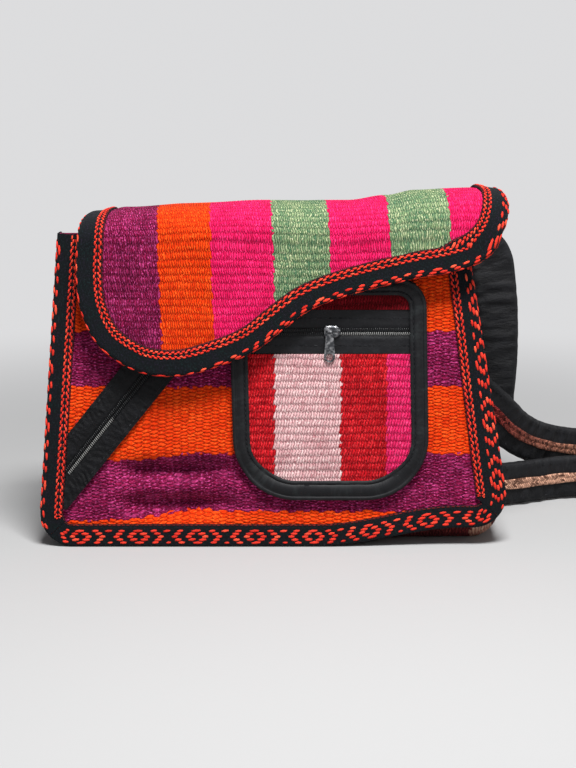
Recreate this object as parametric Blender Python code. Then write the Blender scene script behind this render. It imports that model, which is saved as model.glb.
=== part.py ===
"""Woven flap backpack, sewn from striped handwoven cloth and bound with patterned ribbon.

Units are metres, +Z is up, the front faces -Y and +X is the wearer's left when it is worn.
The origin is the middle of the base, on the surface that the bag stands on.
"""
import math

import bmesh
import bpy
from mathutils import Matrix, Vector
from mathutils.geometry import delaunay_2d_cdt

# Body
PANEL_HEIGHT = 0.2055          # cloth of the front panel, floor to mouth
BACK_HEIGHT = 0.1970           # the back panel ends lower, under the flap's seam
BASE_LEFT = 0.1535             # centre line to the base corners of the panels, before rounding
BASE_RIGHT = 0.1560
MOUTH_LEFT = 0.1375            # centre line to the top corners
MOUTH_RIGHT = 0.1235
BASE_DEPTH = 0.088             # front cloth to back cloth at the base
MOUTH_DEPTH = 0.056            # front cloth to back cloth at the mouth
CORNER_RADIUS = 0.020
CORNER_STEPS = 4
FRONT_LIFT = 0.0125            # how far the front's lower right corner stands off the table
LIFT_START = 0.030
LIFT_END = 0.125

# Cloth, ribbon and stand-off
CLOTH = 0.0025
GUSSET_CLOTH = 0.0020
SEAM_GAP = 0.0003              # clearance between pieces that are sewn face to face
LAYER_GAP = 0.0005             # clearance over a ribbed face
RIB_PITCH = 0.0094             # one pucker of the weave
RIB_HEIGHT = 0.0007
RIBBON = 0.0012                # thickness of the ribbon
RIBBON_WIDTH = 0.026           # whole width, folded over the edge
RIBBON_FRONT = {"left_ribbon": 0.0135, "base_ribbon": 0.0130, "right_ribbon": 0.0185}
FLAP_RIBBON_FRONT = 0.0155
BACK_RIBBON_FRONT = 0.0130
FLOAT_HEIGHT = 0.0003          # how far the coral yarns stand proud of the ribbon

# Flap
FLAP_CLOTH = 0.0026
FLAP_STANDOFF = 0.0113         # front cloth to the flap's lining
FLAP_SHOULDER = 0.1980
FLAP_BACK_DROP = 0.0080        # how far the flap is sewn down the back
CREST_SQUARE = 0.68            # 1 for a half ellipse over the top, less for squarer shoulders
CREST_RUN = 0.1000             # cloth from the front shoulder over the top to the back

# Patch pocket
POCKET_LEFT = -0.0272
POCKET_RIGHT = 0.1015
POCKET_BOTTOM = 0.0330
POCKET_TOP = 0.1760
POCKET_LEAN = 0.0035
POCKET_LOW_RADIUS = 0.0400
POCKET_TOP_RADIUS = 0.0180
POCKET_CLOTH = 0.0023
BINDING_WIDTH = 0.0098
BINDING_ROLL = 0.0012

# Zips
ZIP_HEIGHT = 0.1422            # the patch pocket's zip line, above the table
TAPE_REACH = 0.0142            # zip line to a tape's outer edge
TAPE = 0.0006
COIL_WIDTH = 0.0019
COIL_THICK = 0.0013
COIL_SLOT = 0.0011             # between the two coils, where the slider's post runs
TOOTH_PITCH = 0.0044
SLASH_START = (-0.1350, 0.0500)
SLASH_ANGLE = math.radians(51.0)
SLASH_LENGTH = 0.1180
SLASH_REACH = 0.0152
SLASH_FLOOR = 0.0255
GATHER_PITCH = 0.0100
GATHER_HEIGHT = 0.0010
PLATE = 0.0007
SLIDER_LENGTH = 0.0104
SLIDER_WIDTH = 0.0076
SLIDER_CLEARANCE = 0.0003
POST = 0.0005
BRIDGE_BAR = 0.0005            # radius of the bar that the pull hangs on
BRIDGE_RISE = 0.0022
PULL_LENGTH = 0.0200
PULL_THICK = 0.0008
PULL_TOP_WIDTH = 0.0050
PULL_EYE = 0.0036
PULL_HOLE = 0.0024
PULL_SETBACK = 0.0018          # the pull hangs off the middle of the bar
POCKET_SLIDER_X = 0.0388
SLASH_SLIDER_RUN = 0.1080      # parked near the top end, under the flap

# Straps
STRAP_WIDTH = 0.031
STRAP_PAD = 0.0060
STRAP_GATHER = 0.0008
BAND_WIDTH = 0.0070
BAND_THICK = 0.0008
BAND_GAP = 0.0010              # room for the strap's twist under the band
STRAP_STEP = 0.0155            # one gather along the strap takes two steps
LINK = 0.00925                  # one link of the ribbon's chain

# Colours, in the order red, green, blue
PLUM = (0.24, 0.010, 0.085)
ORANGE = (0.90, 0.085, 0.005)
PINK = (0.87, 0.012, 0.14)
GREEN = (0.30, 0.50, 0.27)
CRIMSON = (0.53, 0.010, 0.028)
PALE_PINK = (0.78, 0.47, 0.44)
ROSE = (0.72, 0.030, 0.18)
INK = (0.012, 0.014, 0.018)
CORAL = (0.84, 0.075, 0.040)
NYLON = (0.016, 0.016, 0.020)
PEACH = (0.62, 0.30, 0.20)
METAL = (0.42, 0.43, 0.45)
WINE = (0.20, 0.030, 0.032)

# Woven stripes: colour, then where the stripe ends
FRONT_STRIPES = [("orange", 0.0227), ("plum", 0.0613), ("orange", 0.1054), ("plum", 0.1413),
                 ("orange", 0.1788), ("plum", 1.0)]
FLAP_STRIPES = [("plum", -0.0725), ("orange", -0.0385), ("pink", 0.0010), ("green", 0.0375),
                ("pink", 0.0760), ("green", 0.1137), ("pink", 1.0)]
POCKET_STRIPES = [("crimson", 0.0010), ("pale_pink", 0.0440), ("crimson", 0.0742), ("rose", 1.0)]
GUSSET_STRIPES = [("wine", 0.30), ("peach", 0.36), ("wine", 0.80), ("peach", 0.815), ("wine", 2.0)]

MATERIALS = {
    "plum": (PLUM, 0.9, 0.0), "orange": (ORANGE, 0.9, 0.0), "pink": (PINK, 0.9, 0.0),
    "green": (GREEN, 0.9, 0.0), "crimson": (CRIMSON, 0.9, 0.0), "pale_pink": (PALE_PINK, 0.9, 0.0),
    "rose": (ROSE, 0.9, 0.0), "ink": (INK, 0.85, 0.0), "coral": (CORAL, 0.8, 0.0),
    "nylon": (NYLON, 0.6, 0.0), "peach": (PEACH, 0.9, 0.0), "metal": (METAL, 0.35, 1.0),
    "wine": (WINE, 0.9, 0.0),
}

# Heights over the front cloth, from the zip's back plate to the pull's bar
RIBBON_LOW = RIB_HEIGHT + LAYER_GAP
RIBBON_HIGH = RIBBON_LOW + RIBBON
PATCH_LOW = RIB_HEIGHT + LAYER_GAP
PATCH_HIGH = PATCH_LOW + POCKET_CLOTH
PLATE_LOW = RIB_HEIGHT + SLIDER_CLEARANCE
PLATE_HIGH = PLATE_LOW + PLATE
COIL_LOW = PLATE_HIGH + SLIDER_CLEARANCE
COIL_HIGH = COIL_LOW + COIL_THICK
TAPE_LOW = COIL_LOW + (COIL_THICK - TAPE) / 2
TAPE_HIGH = TAPE_LOW + TAPE
TOP_PLATE_LOW = COIL_HIGH + SLIDER_CLEARANCE
TOP_PLATE_HIGH = TOP_PLATE_LOW + PLATE
BAR_HEIGHT = TOP_PLATE_HIGH + BRIDGE_RISE
COIL_EDGE = COIL_SLOT / 2 + COIL_WIDTH
BINDING_TOP = PATCH_HIGH + RIB_HEIGHT + LAYER_GAP + SEAM_GAP

LEAN = (BASE_DEPTH - MOUTH_DEPTH) / 2 / PANEL_HEIGHT
RIBBON_OUT = SEAM_GAP + RIBBON                     # ribbon's outer skin, past the cloth's edge
PANEL_FLOOR = RIBBON_OUT + 0.0003                  # lower edge of the panels' cloth
FOLDS = [(0.0335, 0.0055), (0.0545, 0.0050)]       # height and half-width of the front's soft folds
FOLD_DEPTH = 0.0018
FOLD_LEFT, FOLD_RIGHT, FOLD_FADE = -0.096, 0.136, 0.030
FOLD_LEVELS = [0.0255, 0.0335, 0.0400, 0.0465, 0.0545, 0.0605, 0.0670]
TINY = 1e-7


def clear_scene():
    for old in list(bpy.data.objects):
        bpy.data.objects.remove(old, do_unlink=True)


def material(name):
    """One finish, made when it is first used."""
    found = bpy.data.materials.get(name)
    if found:
        return found
    colour, rough, metal = MATERIALS[name]
    made = bpy.data.materials.new(name)
    made.use_nodes = True
    shader = made.node_tree.nodes["Principled BSDF"]
    shader.inputs["Base Color"].default_value = (*colour, 1.0)
    shader.inputs["Roughness"].default_value = rough
    shader.inputs["Metallic"].default_value = metal
    made.diffuse_color = (*colour, 1.0)
    return made


def add_piece(name, points, faces, finishes, tints=None):
    """Make one closed solid from points and faces; tints gives each face's finish."""
    mesh = bpy.data.meshes.new(name)
    build = bmesh.new()
    corners = [build.verts.new(point) for point in points]
    for index, face in enumerate(faces):
        made = build.faces.new([corners[i] for i in face])
        made.material_index = tints[index] if tints else 0
    bmesh.ops.recalc_face_normals(build, faces=build.faces)
    build.to_mesh(mesh)
    build.free()
    piece = bpy.data.objects.new(name, mesh)
    bpy.context.scene.collection.objects.link(piece)
    for finish in finishes:
        mesh.materials.append(material(finish))
    return piece


def smoothstep(value):
    value = min(max(value, 0.0), 1.0)
    return value * value * (3.0 - 2.0 * value)


def curve_through(points, steps):
    """Catmull-Rom curve through the points, with the same number of steps in each span."""
    points = [Vector(point) for point in points]
    ends = [2 * points[0] - points[1]] + points + [2 * points[-1] - points[-2]]
    out = []
    for i in range(1, len(ends) - 2):
        p0, p1, p2, p3 = ends[i - 1:i + 3]
        for k in range(steps):
            t = k / steps
            out.append(0.5 * (2 * p1 + (p2 - p0) * t + (2 * p0 - 5 * p1 + 4 * p2 - p3) * t ** 2
                              + (3 * p1 - p0 - 3 * p2 + p3) * t ** 3))
    out.append(points[-1])
    return out


def fillet(before, corner, after, radius, steps):
    """Arc that rounds a corner of an outline."""
    before, corner, after = Vector(before), Vector(corner), Vector(after)
    into = (before - corner).normalized()
    away = (after - corner).normalized()
    half = into.angle(away) / 2
    centre = corner + (into + away).normalized() * radius / math.sin(half)
    start = corner + into * radius / math.tan(half) - centre
    end = corner + away * radius / math.tan(half) - centre
    sweep = start.angle_signed(end)
    return [centre + Matrix.Rotation(-sweep * k / steps, 2) @ start for k in range(steps + 1)]


class Path:
    """A flat line walked with the cloth on its left, so its normals point out of the cloth."""

    def __init__(self, points, closed=False):
        self.points = [Vector(point) for point in points]
        self.closed = closed
        if closed:
            self.points.append(self.points[0].copy())
        self.marks = [0.0]
        for a, b in zip(self.points, self.points[1:]):
            self.marks.append(self.marks[-1] + (b - a).length)
        self.length = self.marks[-1]
        sides = [Vector((b.y - a.y, a.x - b.x)).normalized()
                 for a, b in zip(self.points, self.points[1:])]
        first = sides[-1] if closed else sides[0]
        last = sides[0] if closed else sides[-1]
        pairs = zip([first] + sides, sides + [last])
        self.normals = [(a + b) / (1.0 + a.dot(b)) for a, b in pairs]

    def at(self, run, out=0.0):
        """The point at a distance along the line, moved out of the cloth by out."""
        run = min(max(run, 0.0), self.length)
        i = max(k for k, mark in enumerate(self.marks[:-1]) if mark <= run + TINY)
        share = (run - self.marks[i]) / (self.marks[i + 1] - self.marks[i])
        point = self.points[i].lerp(self.points[i + 1], share)
        return point + self.normals[i].lerp(self.normals[i + 1], share) * out

    def offset(self, out):
        points = [point + normal * out for point, normal in zip(self.points, self.normals)]
        return Path(points[:-1] if self.closed else points, self.closed)

    def refined(self, levels):
        """The same line with a corner at each level that it crosses."""
        out = []
        for a, b in zip(self.points, self.points[1:]):
            out.append(a)
            crossed = [(z - a.y) / (b.y - a.y) for z in levels if (z - a.y) * (z - b.y) < 0]
            clear = 0.0025 / (b - a).length
            out += [a.lerp(b, share) for share in sorted(crossed) if clear < share < 1 - clear]
        return Path(out, True) if self.closed else Path(out + [self.points[-1]])

    def stations(self, start, end):
        inner = [mark for mark in self.marks if start + 0.0012 < mark < end - 0.0012]
        return [start] + inner + [end]


def front_fold(x, z):
    """Depth of the soft sagging folds pressed across the lower front."""
    fade = smoothstep((x - FOLD_LEFT) / FOLD_FADE) * smoothstep((FOLD_RIGHT - x) / FOLD_FADE)
    return FOLD_DEPTH * fade * sum(math.exp(-((z - height) / reach) ** 2) for height, reach in FOLDS)


def place_front(x, z, high=0.0):
    """Point on the front cloth, or in front of it by high."""
    return Vector((x, -BASE_DEPTH / 2 + LEAN * z + front_fold(x, z) - high, z))


def place_back(x, z, high=0.0):
    return Vector((x, BASE_DEPTH / 2 - LEAN * z + high, z))


def panel_edge(lift, height):
    """Outer edge of a panel: down the left side, along the base and up the right side."""
    floor = PANEL_FLOOR
    top_left, top_right = (-MOUTH_LEFT, height), (MOUTH_RIGHT, height)
    low_left, low_right = (-BASE_LEFT, floor), (BASE_RIGHT, floor + lift)
    left_arc = fillet(top_left, low_left, (0.0, floor), CORNER_RADIUS, CORNER_STEPS)
    right_arc = fillet((LIFT_END, floor + lift), low_right, top_right, CORNER_RADIUS, CORNER_STEPS)
    left_side = [Vector(top_left).lerp(left_arc[0], k / 3) for k in range(3)]
    right_side = [right_arc[-1].lerp(Vector(top_right), (k + 1) / 3) for k in range(3)]
    base = []
    for k in range(1, 7):
        x = left_arc[-1].x + (right_arc[0].x - left_arc[-1].x) * k / 7
        base.append(Vector((x, floor + lift * smoothstep((x - LIFT_START) / (LIFT_END - LIFT_START)))))
    return Path(left_side + left_arc + base + right_arc + right_side)


def crest(x):
    """Height of the flap's lining over the top of the bag; it stands higher at the right."""
    marks = [(-0.130, 0.2118), (-0.117, 0.2150), (-0.097, 0.2200), (-0.060, 0.2205), (0.000, 0.2230),
             (0.050, 0.2220), (0.075, 0.2250), (0.094, 0.2288), (0.131, 0.2304), (0.147, 0.2275),
             (0.156, 0.2225)]
    if x <= marks[0][0]:
        return marks[0][1]
    for (x0, z0), (x1, z1) in zip(marks, marks[1:]):
        if x <= x1:
            return z0 + (z1 - z0) * smoothstep((x - x0) / (x1 - x0))
    return marks[-1][1]


def place_flap(x, run, high=0.0):
    """Point on the flap's lining, or out from it by high.

    Below the shoulder, run is the height over the table. Above it, run goes on over the crest and
    down the back.
    """
    front = place_front(x, FLAP_SHOULDER).y - front_fold(x, FLAP_SHOULDER) - FLAP_STANDOFF
    back = place_back(x, FLAP_SHOULDER - FLAP_BACK_DROP).y + RIBBON_HIGH + SEAM_GAP
    if run <= FLAP_SHOULDER:
        return Vector((x, -BASE_DEPTH / 2 + LEAN * run - FLAP_STANDOFF - high, run))
    if run >= FLAP_SHOULDER + CREST_RUN:
        return Vector((x, back + high, FLAP_SHOULDER + CREST_RUN + FLAP_SHOULDER - run))
    turn = math.pi * (run - FLAP_SHOULDER) / CREST_RUN
    reach, rise = (back - front) / 2, crest(x) - FLAP_SHOULDER
    side = -1.0 if turn < math.pi / 2 else 1.0
    along, up = abs(math.cos(turn)) ** CREST_SQUARE, abs(math.sin(turn)) ** CREST_SQUARE
    steep = 2.0 / CREST_SQUARE - 1.0
    normal = Vector((0.0, side * along ** steep / reach, up ** steep / rise)).normalized()
    middle = Vector((x, (front + back) / 2 + side * reach * along, FLAP_SHOULDER + rise * up))
    return middle + normal * high


def crest_levels():
    return [FLAP_SHOULDER + CREST_RUN * k / 10 for k in range(11)]


def flap_edge():
    """Free edge of the flap's cloth, from the back seam round the shaped front and back again."""
    over = FLAP_SHOULDER + CREST_RUN
    points = [
        (-0.1190, over + FLAP_BACK_DROP), (-0.1225, over - 0.4 * CREST_RUN), (-0.1245, 0.2050), (-0.1255, 0.1780), (-0.1226, 0.1560), (-0.1107, 0.1337), (-0.0865, 0.1183),
        (-0.0595, 0.1157), (-0.0330, 0.1225), (-0.0112, 0.1318), (0.0074, 0.1459), (0.0234, 0.1575),
        (0.0433, 0.1657), (0.0656, 0.1720), (0.0937, 0.1785), (0.1160, 0.1825), (0.1351, 0.1898),
        (0.1476, 0.2050), (0.1520, over - 0.66 * CREST_RUN), (0.1490, over - 0.30 * CREST_RUN),
        (0.1445, over), (0.1440, over + FLAP_BACK_DROP),
    ]
    return Path(curve_through(points, 2)).offset(-RIBBON_OUT).refined(crest_levels())


def pocket_edge():
    """Outer edge of the patch pocket's binding, walked with the pocket on its left."""
    top_left, low_left = (POCKET_LEFT, POCKET_TOP), (POCKET_LEFT + POCKET_LEAN, POCKET_BOTTOM)
    low_right, top_right = (POCKET_RIGHT, POCKET_BOTTOM), (POCKET_RIGHT - POCKET_LEAN, POCKET_TOP)
    ring = fillet(top_right, top_left, low_left, POCKET_TOP_RADIUS, 3)
    ring += fillet(top_left, low_left, low_right, POCKET_LOW_RADIUS, 6)
    ring += fillet(low_left, low_right, top_right, POCKET_LOW_RADIUS, 6)
    ring += fillet(low_right, top_right, top_left, POCKET_TOP_RADIUS, 3)
    return Path(ring, closed=True)


def clip(outline, on, away):
    """The part of an outline that lies on the side of a line that away points from."""
    on, away = Vector(on), Vector(away)
    kept = []
    for a, b in zip(outline, outline[1:] + outline[:1]):
        side_a, side_b = (a - on).dot(away), (b - on).dot(away)
        if side_a <= 0:
            kept.append(a)
        if side_a * side_b < 0:
            kept.append(a.lerp(b, side_a / (side_a - side_b)))
    return kept


def rib(distance, pitch, height):
    """Triangular pucker, 0 in the valleys and height on the crests."""
    phase = distance / pitch % 1.0
    return height * (1.0 - abs(2.0 * phase - 1.0))


def rows(low, high, pitch):
    """Heights of the pucker valleys and crests between two levels."""
    first = math.ceil(low / pitch * 2) / 2
    count = int((high / pitch - first) * 2) + 1
    return [(first + k / 2) * pitch for k in range(count)]


def triangles_in(points, edges, loop, others=()):
    """Triangles inside a loop, each with the last of the other shapes that it lies in."""
    faces = [list(loop)] + [list(face) for face in others]
    verts, _, tris, origin, _, inside = delaunay_2d_cdt(points, edges, faces, 0, TINY, True)
    kept = [(tri, max(own)) for tri, own in zip(tris, inside) if 0 in own]
    return verts, origin, kept


def rim_of(tris):
    """Ordered corners of the open rim of a patch of triangles."""
    after = {}
    for tri in tris:
        for a, b in zip(tri, tri[1:] + tri[:1]):
            after[a, b] = True
    follow = {a: b for a, b in after if (b, a) not in after}
    rim = [next(iter(follow))]
    while follow[rim[-1]] != rim[0]:
        rim.append(follow[rim[-1]])
    return rim


def cloth_piece(name, outline, cuts, place, low, high, stripes, stripe_of, inner=None):
    """A flat woven piece with a puckered face.

    cuts are lines across the outline, low and high give the lining's and the face's height at a
    point, and inner holds the lining's own few points, or None to give it the face's points.
    """
    points = [Vector(p) for p in outline]
    loop = list(range(len(points)))
    edges = []
    for a, b in cuts:
        edges.append((len(points), len(points) + 1))
        points += [Vector(a), Vector(b)]
    flat, _, kept = triangles_in(points, edges, loop)
    face = [tuple(tri) for tri, _ in kept]
    used = sorted({i for tri in face for i in tri})
    index = {old: new for new, old in enumerate(used)}
    face = [tuple(index[i] for i in tri) for tri in face]
    top = [flat[i] for i in used]
    rim = rim_of(face)
    finishes = list(dict.fromkeys(colour for colour, _ in stripes))

    def finish_at(x, z):
        where = stripe_of(x, z)
        return finishes.index(next(colour for colour, end in stripes if where < end))

    corners = [place(p.x, p.y, high(p.x, p.y)) for p in top]
    faces, tints = [], []
    for tri in face:
        middle = (top[tri[0]] + top[tri[1]] + top[tri[2]]) / 3
        faces.append(tri)
        tints.append(finish_at(middle.x, middle.y))
    if inner is None:
        shift = len(corners)
        corners += [place(p.x, p.y, low(p.x, p.y)) for p in top]
        under = [tuple(i + shift for i in reversed(tri)) for tri in face]
        below = {i: i + shift for i in rim}
    else:
        rim_points = [top[i] for i in rim]
        flat, origin, kept = triangles_in(rim_points + [Vector(p) for p in inner], [],
                                          range(len(rim_points)))
        shift = len(corners)
        corners += [place(p.x, p.y, low(p.x, p.y)) for p in flat]
        under = [tuple(i + shift for i in reversed(tri)) for tri, _ in kept]
        below = {}
        for new, old in enumerate(origin):
            for number in old:
                if number < len(rim):
                    below[rim[number]] = new + shift
    for tri in under:
        faces.append(tri)
        tints.append(tints[0])
    for a, b in zip(rim, rim[1:] + rim[:1]):
        faces.append((b, a, below[a], below[b]))
        tints.append(finish_at(top[a].x, top[a].y))
    return add_piece(name, corners, faces, finishes, tints)


def inner_points(edge, margin, xs, zs):
    """A few points well inside an edge, for a lining that needs no detail."""
    shrunk = edge.offset(-margin).points
    return [p for p in (Vector((x, z)) for z in zs for x in xs) if point_inside(p, shrunk)]


def point_inside(point, outline):
    inside = False
    for a, b in zip(outline, outline[1:] + outline[:1]):
        if (a.y > point.y) != (b.y > point.y):
            if point.x < a.x + (b.x - a.x) * (point.y - a.y) / (b.y - a.y):
                inside = not inside
    return inside


def swept(name, place, path, section, finish, start=0.0, end=None):
    """A binding: a section of (out, high) corners carried along an edge."""
    end = path.length if end is None else end
    stations = path.marks[:-1] if path.closed else path.stations(start, end)
    count, size = len(stations), len(section)
    points = []
    for run in stations:
        for out, high in section:
            spot = path.at(run, out)
            points.append(place(spot.x, spot.y, high))
    faces = []
    for i in range(count if path.closed else count - 1):
        near, far = i * size, (i + 1) % count * size
        for k in range(size):
            nxt = (k + 1) % size
            faces.append((near + k, near + nxt, far + nxt, far + k))
    if not path.closed:
        faces.append(tuple(range(size)))
        faces.append(tuple(range((count - 1) * size, count * size)))
    return add_piece(name, points, faces, [finish])


def lozenge(run, out, long, wide):
    return [(run - long / 2, out), (run, out - wide / 2), (run + long / 2, out), (run, out + wide / 2)]


def ribbon_motifs(start, end, width):
    """The ribbon's woven figures on the (run, out) strip: coral shapes, then the black inside them.

    A chain of links follows the inner edge. Lozenges between pairs of brackets follow the outer one.
    """
    coral, black = [], []
    link, link_wide = LINK, 0.0046
    margin = 0.0016
    chain_out = -width + 0.0008 + link_wide / 2
    count = int((end - start - 2 * margin) / link)
    slack = (end - start - count * link) / 2
    for k in range(count):
        coral.append(lozenge(start + slack + (k + 0.5) * link, chain_out, link * 0.94, link_wide))
    repeat, big_long, big_wide = 0.0370, 0.0150, 0.0064
    low = -width + 0.0008 + link_wide + 0.0010
    middle = max(low + big_wide / 2, -0.0008 - big_wide / 2)
    count = int((end - start - 2 * margin) / repeat)
    if count == 0:
        return coral, black
    slack = (end - start - count * repeat) / 2
    for k in range(count):
        run = start + slack + (k + 0.5) * repeat
        coral.append(lozenge(run, middle, big_long, big_wide))
        black.append(lozenge(run, middle, big_long * 0.40, big_wide * 0.40))
        for side in (-1, 1):
            tip, root = run + side * big_long * 0.92, run + side * big_long * 0.62
            half, thick = big_wide / 2, big_wide * 0.30
            bracket = [(root, middle - half), (tip, middle), (root, middle + half),
                       (root - side * 0.0002, middle + half - thick), (tip - side * 0.0026, middle),
                       (root - side * 0.0002, middle - half + thick)]
            coral.append(bracket if side < 0 else bracket[::-1])
    return coral, black


def ribbon(name, place, path, start, end, width, low, back_reach, figured=True):
    """Ribbon folded over an edge: its figured face, the fold, and the leg behind the edge."""
    face = low + RIBBON
    stations = path.stations(start, end)
    strip = [Vector((run, -width)) for run in stations]
    strip += [Vector((run, RIBBON_OUT)) for run in reversed(stations)]
    coral, black = ribbon_motifs(start, end, width) if figured else ([], [])
    points, shapes = list(strip), []
    for shape in coral + black:
        shapes.append(range(len(points), len(points) + len(shape)))
        points += [Vector(p) for p in shape]
    flat, origin, kept = triangles_in(points, [], range(len(strip)), shapes)
    rim_index = {}
    for new, old in enumerate(origin):
        for number in old:
            if number < len(strip):
                rim_index[number] = new
    proud = {i for tri, own in kept if 1 <= own <= len(coral) for i in tri}
    tips = {i for tri, own in kept if not 1 <= own <= len(coral) for i in tri}
    corners = []
    for i, p in enumerate(flat):
        spot = path.at(p.x, p.y)
        rise = FLOAT_HEIGHT if i in proud and i not in rim_index.values() else 0.0
        corners.append(place(spot.x, spot.y, face + rise * (0.5 if i in tips else 1.0)))
    faces = [tuple(tri) for tri, _ in kept]
    tints = [1 if 1 <= own <= len(coral) else 0 for _, own in kept]
    rest = [(RIBBON_OUT, -back_reach), (SEAM_GAP, -back_reach), (SEAM_GAP, low), (-width, low)]
    count = len(stations)
    rings = []
    for i, run in enumerate(stations):
        ring = [rim_index[i], rim_index[2 * count - 1 - i]]
        for out, high in rest:
            spot = path.at(run, out)
            ring.append(len(corners))
            corners.append(place(spot.x, spot.y, high))
        rings.append(ring)
    for near, far in zip(rings, rings[1:]):
        for k in range(1, len(near)):
            nxt = (k + 1) % len(near)
            faces.append((near[k], near[nxt], far[nxt], far[k]))
            tints.append(0)
    faces += [tuple(rings[0]), tuple(rings[-1])]
    tints += [0, 0]
    return add_piece(name, corners, faces, ["ink", "coral"], tints)


def make_front_panel(edge):
    outline = [p for p in edge.points]
    levels = rows(PANEL_FLOOR + 0.003, PANEL_HEIGHT - 0.002, RIB_PITCH)
    reach = max(BASE_LEFT, BASE_RIGHT) + 0.01
    cuts = [((-reach, z), (reach, z)) for z in levels]
    cuts += [((-reach, end), (reach, end + TINY)) for _, end in FRONT_STRIPES[:-1]
             if min(abs(end - z) for z in levels) > 0.0008]
    columns = (FOLD_LEFT, FOLD_LEFT + FOLD_FADE, FOLD_RIGHT - FOLD_FADE)
    cuts += [((x, 0.0), (x, PANEL_HEIGHT + 0.01)) for x in columns]
    lining = inner_points(edge, 0.006, columns, FOLD_LEVELS + [0.100, 0.150])
    cloth_piece("front_panel", outline, cuts, place_front, lambda x, z: -CLOTH,
                lambda x, z: rib(z, RIB_PITCH, RIB_HEIGHT), FRONT_STRIPES, lambda x, z: z, lining)


def make_back_panel(edge):
    outline = [p for p in edge.points]
    reach = max(BASE_LEFT, BASE_RIGHT) + 0.01
    cuts = [((-reach, end), (reach, end)) for _, end in FRONT_STRIPES[:-1]]
    cloth_piece("back_panel", outline, cuts, place_back, lambda x, z: -CLOTH, lambda x, z: 0.0,
                FRONT_STRIPES, lambda x, z: z)


def make_gusset(front_edge, back_edge):
    """One long band: it takes the panels' outlines at its ends and sags to the table between."""
    rest_points = []
    for p in back_edge.points:
        drop = PANEL_FLOOR * smoothstep((CORNER_RADIUS - p.y) / CORNER_RADIUS)
        rest_points.append(Vector((p.x, p.y - (PANEL_FLOOR if p.y < PANEL_FLOOR + TINY else drop))))
    rest_edge = Path(rest_points)
    inset = CLOTH + SEAM_GAP
    rails = [(front_edge, 0.0), (front_edge, 0.18), (rest_edge, 0.40), (rest_edge, 0.70),
             (back_edge, 0.82), (back_edge, 1.0)]
    size = len(front_edge.points)
    points = []
    for out in (0.0, -GUSSET_CLOTH):
        for path, share in rails:
            for i in range(size):
                p = path.points[i] + path.normals[i] * out
                near = place_front(front_edge.points[i].x, p.y, -inset).y
                far = place_back(p.x, p.y, -inset).y
                points.append(Vector((p.x, near + (far - near) * share, p.y)))
    faces, tints = [], []
    layers = len(rails)
    finishes = ["wine", "peach"]
    for skin in (0, 1):
        for r in range(layers - 1):
            for i in range(size - 1):
                a = (skin * layers + r) * size + i
                faces.append((a, a + 1, a + 1 + size, a + size))
                where = (i + 0.5) / size * 1.5
                tints.append(finishes.index(next(c for c, end in GUSSET_STRIPES if where < end)))
    for r in range(layers - 1):
        for i in (0, size - 1):
            a, b = r * size + i, (layers + r) * size + i
            faces.append((a, a + size, b + size, b))
            tints.append(0)
    for r in (0, layers - 1):
        for i in range(size - 1):
            a, b = r * size + i, (layers + r) * size + i
            faces.append((a, a + 1, b + 1, b))
            tints.append(0)
    add_piece("gusset", points, faces, finishes, tints)


def make_body_ribbons(front_edge, back_edge):
    """Three lengths of ribbon on the front edge, mitred where the corners are roundest."""
    steps = len(front_edge.points)
    left_corner = (front_edge.marks[3] + front_edge.marks[3 + CORNER_STEPS]) / 2
    right_corner = (front_edge.marks[steps - 4 - CORNER_STEPS] + front_edge.marks[steps - 4]) / 2
    spans = {"left_ribbon": (0.0, left_corner - SEAM_GAP / 2),
             "base_ribbon": (left_corner + SEAM_GAP / 2, right_corner - SEAM_GAP / 2),
             "right_ribbon": (right_corner + SEAM_GAP / 2, front_edge.length)}
    for name, (start, end) in spans.items():
        width = RIBBON_FRONT[name]
        ribbon(name, place_front, front_edge, start, end, width, RIBBON_LOW,
               RIBBON_WIDTH - width - RIBBON_OUT)
    ribbon("back_ribbon", place_back, back_edge, 0.0, back_edge.length, BACK_RIBBON_FRONT,
           SEAM_GAP, RIBBON_WIDTH - BACK_RIBBON_FRONT - RIBBON_OUT, figured=False)


def make_mouth_hem(edge):
    """Narrow nylon hem folded over the front panel's top edge, between the ribbons."""
    left = edge.at(0.0, 0.0).x + RIBBON_FRONT["left_ribbon"] + 0.002
    right = edge.at(edge.length, 0.0).x - RIBBON_FRONT["right_ribbon"] - 0.002
    line = Path([(right + (left - right) * k / 4, PANEL_HEIGHT) for k in range(5)])
    low, thick, leg = RIB_HEIGHT + LAYER_GAP, 0.0008, 0.009
    section = [(-leg, low), (SEAM_GAP, low), (SEAM_GAP, -CLOTH - SEAM_GAP), (-leg, -CLOTH - SEAM_GAP),
               (-leg, -CLOTH - SEAM_GAP - thick), (SEAM_GAP + thick, -CLOTH - SEAM_GAP - thick),
               (SEAM_GAP + thick, low + thick), (-leg, low + thick)]
    swept("mouth_hem", place_front, line, section, "nylon")


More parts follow.
